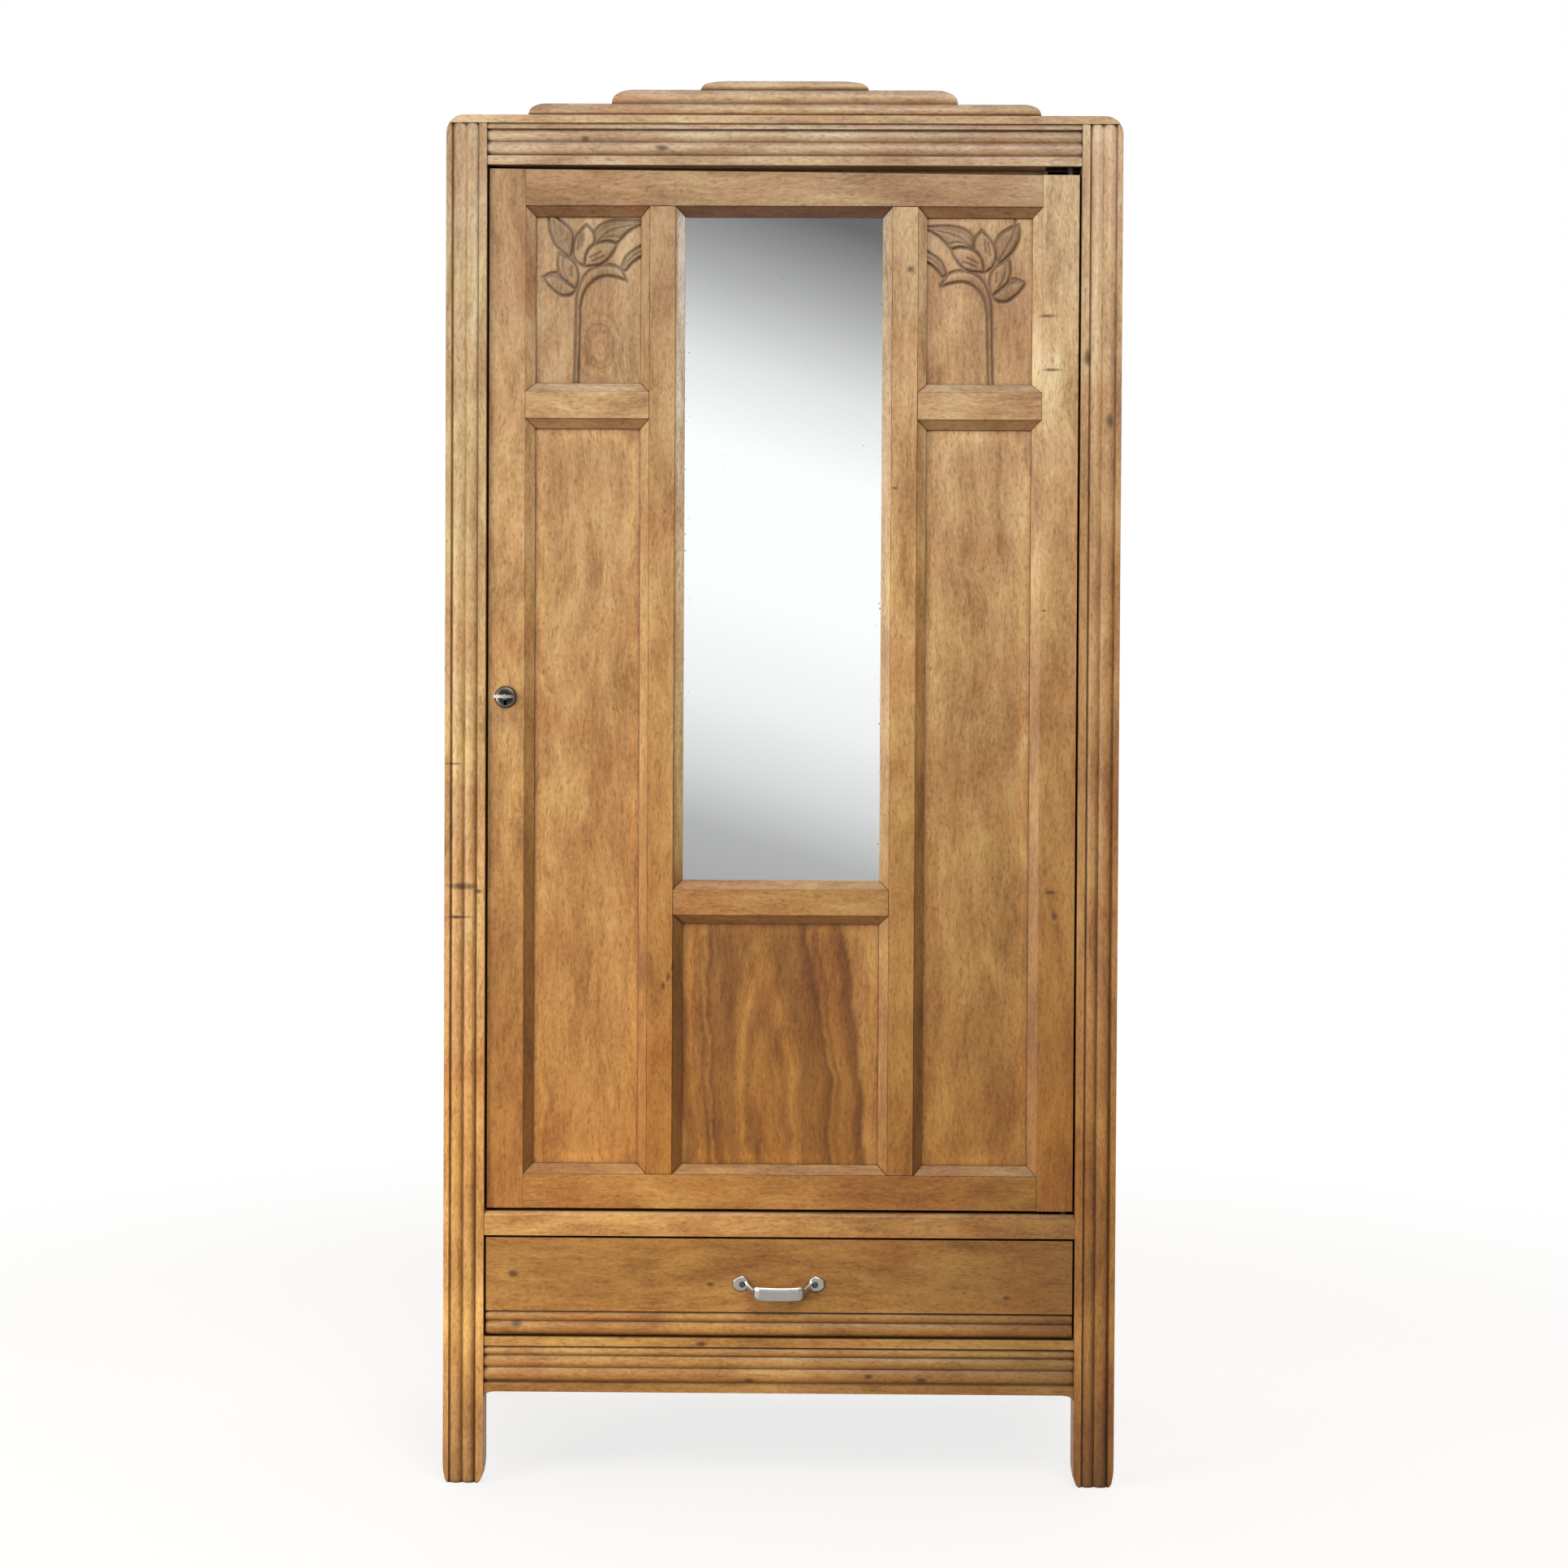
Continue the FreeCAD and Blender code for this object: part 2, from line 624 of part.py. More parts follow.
def door_pivots():
    """Lower and upper socket plates, let into the ends of the hinge stile."""
    x0 = DOOR_HALF - PLATE_LENGTH
    y0 = DOOR_FRONT + DOOR_PLATE_SETBACK
    y1 = y0 + PLATE_DEPTH
    lower = box(x0, DOOR_HALF, y0, y1, DOOR_BOTTOM, DOOR_BOTTOM + PLATE_THICKNESS)
    upper = box(x0, DOOR_HALF, y0, y1, DOOR_TOP_RIGHT - PLATE_THICKNESS, DOOR_TOP_RIGHT)
    hole = rod(PIVOT_X, PIVOT_Y, 0, PIN_RADIUS + PIN_CLEARANCE, HEIGHT, (0, 0, 1))
    return [lower.cut(hole), upper.cut(hole)]


def planed_top():
    """What is planed off the door's upper edge, which falls towards the pivots."""
    outline = Outline(front_view, -HALF, DOOR_TOP_LEFT)
    outline.line(-DOOR_HALF, DOOR_TOP_LEFT)
    outline.line(DOOR_HALF - PLATE_LENGTH, DOOR_TOP_RIGHT)
    outline.line(HALF, DOOR_TOP_RIGHT)
    outline.line(HALF, FRIEZE_BOTTOM)
    outline.line(-HALF, FRIEZE_BOTTOM)
    return outline.solid(FRONT, DOOR_BACK + PAST)


def strip(rect, side):
    """Mitred moulding strip along one side of an opening, as an outline through the door."""
    x0, x1, z0, z1 = rect
    a0, a1, b0, b1 = panel_rect(rect, -MOULDING_WIDTH)
    corners = {
        "left": [(x0, z0), (a0, b0), (a0, b1), (x0, z1)],
        "right": [(x1, z0), (a1, b0), (a1, b1), (x1, z1)],
        "bottom": [(x0, z0), (a0, b0), (a1, b0), (x1, z0)],
        "top": [(x0, z1), (a0, b1), (a1, b1), (x1, z1)],
    }[side]
    outline = Outline(front_view, *corners[0])
    for corner in corners[1:]:
        outline.line(*corner)
    return outline.solid(DOOR_FRONT, DOOR_BACK)


def slope(rect):
    """Cutter of the sloped moulding round an opening: a small step at the face, then the slope."""
    rings = []
    for grow, depth in ((0.0, 0.0), (0.0, MOULDING_QUIRK), (-MOULDING_WIDTH, MOULDING_DEPTH)):
        x0, x1, z0, z1 = panel_rect(rect, grow)
        y = DOOR_FRONT + depth
        corners = [V(x0, y, z0), V(x1, y, z0), V(x1, y, z1), V(x0, y, z1)]
        rings.append(Part.makePolygon(corners + corners[:1]))
    return Part.makeLoft(rings, True, True)


def sight(rect):
    """The part of an opening that shows inside its mouldings."""
    return panel_rect(rect, -MOULDING_WIDTH)


def door_panel(rect):
    """A flat panel with a tongue all round that fills the grooves of its frame."""
    return slab(panel_rect(sight(rect), PANEL_TONGUE), PANEL_FRONT, PANEL_FRONT + PANEL_THICKNESS)


def mirror_rebate(rect):
    """The step behind the mirror opening, open at the back of the door."""
    return slab(panel_rect(sight(rect), PANEL_TONGUE), PANEL_FRONT, DOOR_BACK)


def member(rect, strips, cutters, tenons):
    """A stile, rail or muntin with its mouldings, grooves and tenons."""
    body = slab(rect, DOOR_FRONT, DOOR_BACK)
    if strips:
        body = body.fuse(strips)
    for cutter in cutters:
        body = body.cut(cutter)
    if tenons:
        body = body.fuse(tenons)
    return tidy(body)


def tenon(rect, side, length):
    """The stub tenon at one end of a door rail or muntin."""
    x0, x1, z0, z1 = rect
    inset = TENON_SHOULDER
    reach = {
        "left": (x0 - length, x0, z0 + inset, z1 - inset),
        "right": (x1, x1 + length, z0 + inset, z1 - inset),
        "bottom": (x0 + inset, x1 - inset, z0 - length, z0),
        "top": (x0 + inset, x1 - inset, z1, z1 + length),
    }[side]
    y0 = DOOR_FRONT + (DOOR_THICKNESS - TENON_THICKNESS) / 2
    return slab(reach, y0, y0 + TENON_THICKNESS)


def keyhole(y0, y1, grow=0.0):
    """Cutter of the keyhole: a round hole with a slot below for the key's bit."""
    radius = KEYHOLE_RADIUS + grow
    half = KEYHOLE_HALF_SLOT + grow
    round_part = rod(KEY_X, y0, LOCK_HEIGHT, radius, y1 - y0, (0, 1, 0))
    low = LOCK_HEIGHT - KEY_BIT_REACH - KEYHOLE_END_GAP
    slot = box(KEY_X - half, KEY_X + half, y0, y1, low, LOCK_HEIGHT)
    return round_part.fuse(slot)


def bolt_block(grow):
    """The space of the lock bolt, grown all round for a clearance."""
    x0 = -DOOR_HALF
    x1 = x0 + BOLT_LENGTH
    y1 = BOLT_FRONT + BOLT_THICKNESS
    z0 = LOCK_HEIGHT + BOLT_ABOVE_KEY
    z1 = z0 + BOLT_HEIGHT
    return box(x0 - grow, x1 + grow, BOLT_FRONT - grow, y1 + grow, z0 - grow, z1 + grow)


def lock_block(wall):
    """Outside of the lock case, or its inside when a wall is given."""
    x1 = LOCK_CASE_WIDTH - DOOR_HALF
    z0 = LOCK_HEIGHT - LOCK_CASE_BELOW
    z1 = LOCK_HEIGHT + LOCK_CASE_ABOVE
    return box(wall - DOOR_HALF, x1 - wall, LOCK_CASE_FRONT + wall, DOOR_BACK - wall, z0 + wall, z1 - wall)


def lock_case():
    """Hollow case let into the back of the lock stile."""
    case = lock_block(0).cut(lock_block(LOCK_WALL))
    case = case.cut(keyhole(LOCK_CASE_FRONT, LOCK_CASE_FRONT + LOCK_WALL))
    return case.cut(bolt_block(BOLT_CLEARANCE).common(lock_block(0)))


def lock_bolt():
    """Bolt with a hollow in its underside where the key's bit goes round."""
    radius = BOLT_ABOVE_KEY + TALON_DEPTH
    talon = rod(KEY_X, LOCK_CASE_FRONT, LOCK_HEIGHT, radius, LOCK_CASE_DEPTH, (0, 1, 0))
    return bolt_block(0).cut(talon)


def strike_hole(grow, depth):
    """The space in the left post that takes the thrown bolt."""
    y0 = BOLT_FRONT - grow
    y1 = BOLT_FRONT + BOLT_THICKNESS + grow
    z0 = LOCK_HEIGHT + BOLT_ABOVE_KEY - grow
    z1 = LOCK_HEIGHT + BOLT_ABOVE_KEY + BOLT_HEIGHT + grow
    return box(-OPENING - depth, -OPENING, y0, y1, z0, z1)


def strike_plate():
    """Thin plate let into the left post round the bolt's hole."""
    middle = LOCK_HEIGHT + BOLT_ABOVE_KEY + BOLT_HEIGHT / 2
    y1 = POST_BACK - STRIKE_FROM_BACK
    low = middle - STRIKE_HALF_HEIGHT
    high = middle + STRIKE_HALF_HEIGHT
    plate = box(-OPENING - LOCK_WALL, -OPENING, y1 - STRIKE_DEPTH, y1, low, high)
    return plate.cut(strike_hole(STRIKE_CLEARANCE, LOCK_WALL))


def key_bow():
    """Flat oval ring at the front of the key."""
    y = DOOR_FRONT - KEY_REACH + KEY_BOW_HALF_LENGTH
    centre = V(KEY_X, y, LOCK_HEIGHT - KEY_BOW_THICKNESS / 2)
    outer = Part.Ellipse(centre, KEY_BOW_HALF_WIDTH, KEY_BOW_HALF_LENGTH)
    inner = Part.Ellipse(centre, KEY_BOW_HALF_WIDTH - KEY_BOW_WIDTH, KEY_BOW_HALF_LENGTH - KEY_BOW_WIDTH)
    ring = Part.Face([Part.Wire(outer.toShape()), Part.Wire(inner.toShape())])
    ring.validate()
    return ring.extrude(V(0, 0, KEY_BOW_THICKNESS))


def key_bit():
    """Bit of the key, turned to the side, with one notch for the lock's ward."""
    front = LOCK_CASE_FRONT + 2 * LOCK_WALL
    low = LOCK_HEIGHT - KEY_BIT_HALF_THICKNESS
    high = LOCK_HEIGHT + KEY_BIT_HALF_THICKNESS
    tip = KEY_X + KEY_BIT_REACH
    bit = box(KEY_X, tip, front, front + KEY_BIT_LENGTH, low, high)
    notch_front = front + (KEY_BIT_LENGTH - KEY_NOTCH_WIDTH) / 2
    return bit.cut(box(tip - KEY_NOTCH_DEPTH, tip, notch_front, notch_front + KEY_NOTCH_WIDTH, low, high))


def door_key():
    """Key with its shank along Y, its bow lying flat and its bit turned to the side."""
    back = DOOR_BACK - 2 * LOCK_WALL
    front = DOOR_FRONT - KEY_REACH + 2 * KEY_BOW_HALF_LENGTH - KEY_BOW_WIDTH / 2
    shank = rod(KEY_X, front, LOCK_HEIGHT, KEY_SHANK_RADIUS, back - front, (0, 1, 0))
    collar_y = DOOR_FRONT - KEY_COLLAR_OUT
    collar = rod(KEY_X, collar_y, LOCK_HEIGHT, KEY_COLLAR_RADIUS, KEY_COLLAR_LENGTH, (0, 1, 0))
    return tidy(key_bow().fuse([shank, collar, key_bit()]))


def turned_cap(radius, back, straight, height, flat):
    """Round cap that rises from a straight rim over steps of slope to a flat top, turned about Y."""
    top = back - height
    rise = height - straight
    outline = Outline(side_view, 0, back)
    outline.line(radius, back)
    outline.line(radius, back - straight)
    for turn in CAP_SLOPES:
        reach = flat + (radius - flat) * math.cos(math.radians(turn))
        outline.line(reach, back - straight - rise * math.sin(math.radians(turn)))
    outline.line(0, top)
    outline.line(0, back)
    return Part.Face(Part.Wire(outline.edges)).revolve(V(0, 0, 0), V(0, 1, 0), 360)


def escutcheon():
    """Round domed plate on the lock stile, with the keyhole through it."""
    rim = ESCUTCHEON_RADIUS
    top = DOOR_FRONT - ESCUTCHEON_HEIGHT
    dome = turned_cap(rim, DOOR_FRONT, ESCUTCHEON_RIM, ESCUTCHEON_HEIGHT, rim * ESCUTCHEON_FLAT_SHARE)
    dome.translate(V(KEY_X, 0, LOCK_HEIGHT))
    return dome.cut(keyhole(top, DOOR_FRONT))


def mirror_beads(rect):
    """Four strips that hold the mirror and its backing board in the rebate."""
    x0, x1, z0, z1 = panel_rect(sight(rect), PANEL_TONGUE)
    w = PANEL_TONGUE
    y0 = PANEL_FRONT + GLASS_THICKNESS + MIRROR_BACK_THICKNESS
    uprights = [(x0, x0 + w, z0, z1), (x1 - w, x1, z0, z1)]
    crosses = [(x0 + w, x1 - w, z0, z0 + w), (x0 + w, x1 - w, z1 - w, z1)]
    return [slab(side, y0, DOOR_BACK) for side in uprights + crosses]


def tails(x0, x1, shoulder, length):
    """Dovetails of a drawer side; they reach from the shoulder forwards or backwards."""
    low = DRAWER_PANEL_HIGH + TAILS_LIFT
    pitch = (DRAWER_SIDE_HIGH - low) / TAIL_COUNT
    shapes = []
    for number in range(TAIL_COUNT):
        z = low + pitch * (number + 0.5)
        outline = Outline(side_view, z - TAIL_NARROW / 2, shoulder)
        outline.line(z - TAIL_WIDE / 2, shoulder + length)
        outline.line(z + TAIL_WIDE / 2, shoulder + length)
        outline.line(z + TAIL_NARROW / 2, shoulder)
        shapes.append(outline.solid(x0, x1))
    return shapes


def drawer_sides():
    """Left and right sides, tailed into the front and into the back."""
    x0 = DRAWER_BOX_HALF - DRAWER_SIDE_THICKNESS
    back = DRAWER_BACK - DRAWER_SIDE_THICKNESS
    side = box(x0, DRAWER_BOX_HALF, DRAWER_FACE_BACK, back, DRAWER_SIDE_LOW, DRAWER_SIDE_HIGH)
    front_tails = tails(x0, DRAWER_BOX_HALF, DRAWER_FACE_BACK, -FRONT_TAIL_LENGTH)
    back_tails = tails(x0, DRAWER_BOX_HALF, back, DRAWER_SIDE_THICKNESS)
    side = tidy(side.fuse(front_tails + back_tails))
    return [mirrored(side), side], front_tails, back_tails


def both(shapes):
    """The shapes and their mirror images."""
    return shapes + [mirrored(shape) for shape in shapes]


def build_drawer():
    """Front, sides, back and bottom of the drawer."""
    sides, front_tails, back_tails = drawer_sides()
    face = reeded_rail(DRAWER_LOW, DRAWER_BANDS, DRAWER_FRONT, DRAWER_FACE_BACK, DRAWER_HALF)
    face = face.cut(both(front_tails))
    reach = DRAWER_BOX_HALF - DRAWER_SIDE_THICKNESS + DRAWER_GROOVE
    groove = DRAWER_FACE_BACK - DRAWER_GROOVE
    bottom = box(-reach, reach, groove, DRAWER_BACK, DRAWER_PANEL_LOW, DRAWER_PANEL_HIGH)
    half = DRAWER_BOX_HALF
    inner = DRAWER_BACK - DRAWER_SIDE_THICKNESS
    top = DRAWER_SIDE_HIGH - DRAWER_BACK_DROP
    back = box(-half, half, inner, DRAWER_BACK, DRAWER_PANEL_HIGH, top)
    back = back.cut(both(back_tails))
    sides = [side.cut(bottom) for side in sides]
    screws = handle_screws()
    holes = [screw_shaft(side, SCREW_CLEARANCE) for side in (-1, 1)]
    return {
        "drawer_front": face.cut(bottom).cut(holes),
        "drawer_sides": Part.makeCompound(sides),
        "drawer_back": back,
        "drawer_bottom": bottom,
        "drawer_handle": drawer_handle(),
        "handle_screws": Part.makeCompound(screws),
    }


def eased(share):
    """Runs smoothly from 0 to 1, level at both ends."""
    share = min(1.0, max(0.0, share))
    return share * share * (3.0 - 2.0 * share)


def handle_point(x):
    """Middle line of the bow at x: flat at the lug, then forward and down, then along the grip."""
    reach = abs(x)
    lug_middle = DRAWER_FRONT - LUG_THICKNESS / 2
    out = eased((NECK_ROOT - reach) / (NECK_ROOT - GRIP_HALF_WIDTH + GRIP_SHOULDER))
    down = eased((NECK_ROOT - reach) / (NECK_ROOT - GRIP_HALF_WIDTH))
    sag = GRIP_SAG * (1.0 - (min(reach, GRIP_HALF_WIDTH) / GRIP_HALF_WIDTH) ** 2)
    y = lug_middle + (DRAWER_FRONT - GRIP_PROJECTION - lug_middle) * out
    return V(x, y, HANDLE_HEIGHT - GRIP_DROP * down - sag)


def handle_section(x):
    """Softened rectangular section of the bow, square to its middle line and broader in the grip."""
    centre = handle_point(x)
    step = 0.5
    along = handle_point(x + step) - handle_point(x - step)
    into_grip = eased((GRIP_HALF_WIDTH + GRIP_END - abs(x)) / (2 * GRIP_END))
    half_height = NECK_HALF_HEIGHT + (GRIP_HALF_HEIGHT - NECK_HALF_HEIGHT) * into_grip
    half_thickness = (NECK_THICKNESS + (GRIP_THICKNESS - NECK_THICKNESS) * into_grip) / 2
    across = V(-along.y, along.x, 0).normalize() * half_thickness
    up = V(0, 0, half_height)
    upper = BOW_ROUNDING + [(-side, rise) for side, rise in BOW_ROUNDING[1::-1]]
    rim = upper + [(-side, -rise) for side, rise in upper]
    points = [centre + across * side + up * rise for side, rise in rim]
    return Part.makePolygon(points + points[:1])


def handle_lug(side):
    """Lug with a peak above its screw and a rounded foot."""
    x = side * HANDLE_SPACING / 2
    z = HANDLE_HEIGHT
    outer = x + side * LUG_REACH
    inner = x - side * LUG_FOOT

    def place(point):
        return x + side * point[0], z + point[1]

    outline = Outline(front_view, inner, z)
    outline.arc(place(LUG_INNER_SHOULDER), (x, z + LUG_PEAK))
    outline.arc(place(LUG_OUTER_SHOULDER), (outer, z + LUG_SIDE_TOP))
    outline.line(outer, z - LUG_SIDE_FOOT)
    outline.arc(place(LUG_OUTER_FOOT), (x, z - LUG_FOOT))
    outline.arc(place(LUG_INNER_FOOT), (inner, z))
    return outline.solid(DRAWER_FRONT - LUG_THICKNESS, DRAWER_FRONT)


def drawer_handle():
    """Bow handle: two pointed lugs, two necks that come forward and down, and a broad grip."""
    places = [-x for x in BOW_STATIONS] + [0.0] + BOW_STATIONS[::-1]
    bow = Part.makeLoft([handle_section(x) for x in places], True, True)
    handle = bow.fuse([handle_lug(-1), handle_lug(1)])
    reach = GRIP_PROJECTION + GRIP_THICKNESS
    low = HANDLE_HEIGHT - reach
    high = HANDLE_HEIGHT + reach
    behind = box(-HALF, HALF, DRAWER_FRONT, DRAWER_FRONT + reach, low, high)
    cutters = [behind]
    for x in (-HANDLE_SPACING / 2, HANDLE_SPACING / 2):
        cutters.append(rod(x, DRAWER_FRONT - reach, HANDLE_HEIGHT, LUG_HOLE_RADIUS, reach, (0, 1, 0)))
        seat = SCREW_HEAD_RADIUS + HEAD_CLEARANCE
        cutters.append(rod(x, DRAWER_FRONT - reach, HANDLE_HEIGHT, seat, reach - LUG_THICKNESS, (0, 1, 0)))
    return tidy(handle.cut(cutters))


def screw_shaft(side, grow):
    """Shank of a handle screw, in the drawer front and the lug."""
    x = side * HANDLE_SPACING / 2
    start = DRAWER_FRONT - LUG_THICKNESS
    radius = LUG_HOLE_RADIUS - HEAD_CLEARANCE + grow
    return rod(x, start, HANDLE_HEIGHT, radius, SCREW_LENGTH + LUG_THICKNESS, (0, 1, 0))


def handle_screws():
    """Two screws with domed heads on the lugs."""
    seat = DRAWER_FRONT - LUG_THICKNESS
    screws = []
    for side in (-1, 1):
        head = turned_cap(SCREW_HEAD_RADIUS, seat, SCREW_HEAD_RIM, SCREW_HEAD_HEIGHT, SCREW_HEAD_FLAT)
        head.translate(V(side * HANDLE_SPACING / 2, 0, HANDLE_HEIGHT))
        screws.append(tidy(head.fuse(screw_shaft(side, 0.0))))
    return screws


def build_door():
    """Frame, panels, mirror, lock and pivots of the door."""
    upper = (MUNTIN_OUTER, STILE_INNER, MID_RAIL_TOP, TOP_RAIL_BOTTOM)
    long = (MUNTIN_OUTER, STILE_INNER, BOTTOM_RAIL_TOP, MID_RAIL_BOTTOM)
    mirror = (-MIRROR_HALF_WIDTH, MIRROR_HALF_WIDTH, MIRROR_RAIL_TOP, TOP_RAIL_BOTTOM)
    centre = (-MIRROR_HALF_WIDTH, MIRROR_HALF_WIDTH, BOTTOM_RAIL_TOP, MIRROR_RAIL_BOTTOM)
    sides = [upper, long, flipped(upper), flipped(long)]
    cutters = [slope(rect) for rect in sides + [mirror, centre]]
    cutters = cutters + [door_panel(rect) for rect in sides + [centre]] + [mirror_rebate(mirror)]

    stile = (STILE_INNER, DOOR_HALF, DOOR_BOTTOM, DOOR_TOP_LEFT)
    top_rail = (-STILE_INNER, STILE_INNER, TOP_RAIL_BOTTOM, DOOR_TOP_LEFT)
    level_rail = (-STILE_INNER, STILE_INNER, TOP_RAIL_BOTTOM, DOOR_TOP_RIGHT)
    bottom_rail = (-STILE_INNER, STILE_INNER, DOOR_BOTTOM, BOTTOM_RAIL_TOP)
    muntin = (MIRROR_HALF_WIDTH, MUNTIN_OUTER, BOTTOM_RAIL_TOP, TOP_RAIL_BOTTOM)
    mid_rail = (MUNTIN_OUTER, STILE_INNER, MID_RAIL_BOTTOM, MID_RAIL_TOP)
    mirror_rail = (-MIRROR_HALF_WIDTH, MIRROR_HALF_WIDTH, MIRROR_RAIL_BOTTOM, MIRROR_RAIL_TOP)

    rail_ends = []
    for rail in (level_rail, bottom_rail):
        rail_ends.append([tenon(rail, "left", STILE_TENON), tenon(rail, "right", STILE_TENON)])
    muntin_ends = [tenon(muntin, "top", STILE_TENON), tenon(muntin, "bottom", STILE_TENON)]
    mid_ends = [tenon(mid_rail, "left", MUNTIN_TENON), tenon(mid_rail, "right", STILE_TENON)]
    mirror_ends = [tenon(mirror_rail, "left", MUNTIN_TENON), tenon(mirror_rail, "right", MUNTIN_TENON)]

    top_strips = [strip(rect, "top") for rect in (upper, flipped(upper), mirror)]
    bottom_strips = [strip(rect, "bottom") for rect in (long, flipped(long), centre)]
    stile_strips = [strip(upper, "right"), strip(long, "right")]
    muntin_strips = [strip(upper, "left"), strip(long, "left")]
    muntin_strips = muntin_strips + [strip(mirror, "right"), strip(centre, "right")]
    mid_strips = [strip(upper, "bottom"), strip(long, "top")]
    mirror_strips = [strip(mirror, "bottom"), strip(centre, "top")]

    stile_mortises = [rail_ends[0][1], rail_ends[1][1], mid_ends[1]]
    right_stile = member(stile, stile_strips, cutters + stile_mortises, [])
    left_stile = mirrored(right_stile)
    pin_depth = PIN_ENGAGEMENT + PIN_END_GAP
    low_hole = rod(PIVOT_X, PIVOT_Y, DOOR_BOTTOM, PIN_HOLE_IN_WOOD, pin_depth, (0, 0, 1))
    high_hole = rod(PIVOT_X, PIVOT_Y, DOOR_TOP_RIGHT, PIN_HOLE_IN_WOOD, pin_depth, (0, 0, -1))
    sockets = door_pivots()
    planed = planed_top()
    right_stile = right_stile.cut(sockets + [low_hole, high_hole, planed])
    key_way = keyhole(DOOR_FRONT, LOCK_CASE_FRONT, KEY_WAY_CLEARANCE)
    left_stile = left_stile.cut([lock_block(0), key_way, planed])

    muntin_mortises = [mid_ends[0], mirror_ends[1]]
    right_muntin = member(muntin, muntin_strips, cutters + muntin_mortises, muntin_ends)
    right_mid = member(mid_rail, mid_strips, cutters, mid_ends)
    rail_mortises = both(muntin_ends)
    upper_rail = member(top_rail, top_strips, cutters + rail_mortises + [planed], rail_ends[0])
    lower_rail = member(bottom_rail, bottom_strips, cutters + rail_mortises, rail_ends[1])
    under_mirror = member(mirror_rail, mirror_strips, cutters, mirror_ends)

    pane = panel_rect(sight(mirror), PANEL_TONGUE)
    glass_back = PANEL_FRONT + GLASS_THICKNESS
    return {
        "lock_stile": left_stile,
        "hinge_stile": right_stile,
        "door_top_rail": upper_rail,
        "door_bottom_rail": lower_rail,
        "door_muntin_left": mirrored(right_muntin),
        "door_muntin_right": right_muntin,
        "door_mid_rail_left": mirrored(right_mid),
        "door_mid_rail_right": right_mid,
        "mirror_rail": under_mirror,
        "carved_panel_left": door_panel(flipped(upper)),
        "carved_panel_right": door_panel(upper),
        "long_panel_left": door_panel(flipped(long)),
        "long_panel_right": door_panel(long),
        "centre_panel": door_panel(centre),
        "mirror_glass": slab(pane, PANEL_FRONT, glass_back),
        "mirror_back_board": slab(pane, glass_back, glass_back + MIRROR_BACK_THICKNESS),
        "mirror_beads": Part.makeCompound(mirror_beads(mirror)),
        "door_pivot_plates": Part.makeCompound(sockets),
        "lock_case": lock_case(),
        "escutcheon": escutcheon(),
        "lock_bolt": lock_bolt(),
        "door_key": door_key(),
    }


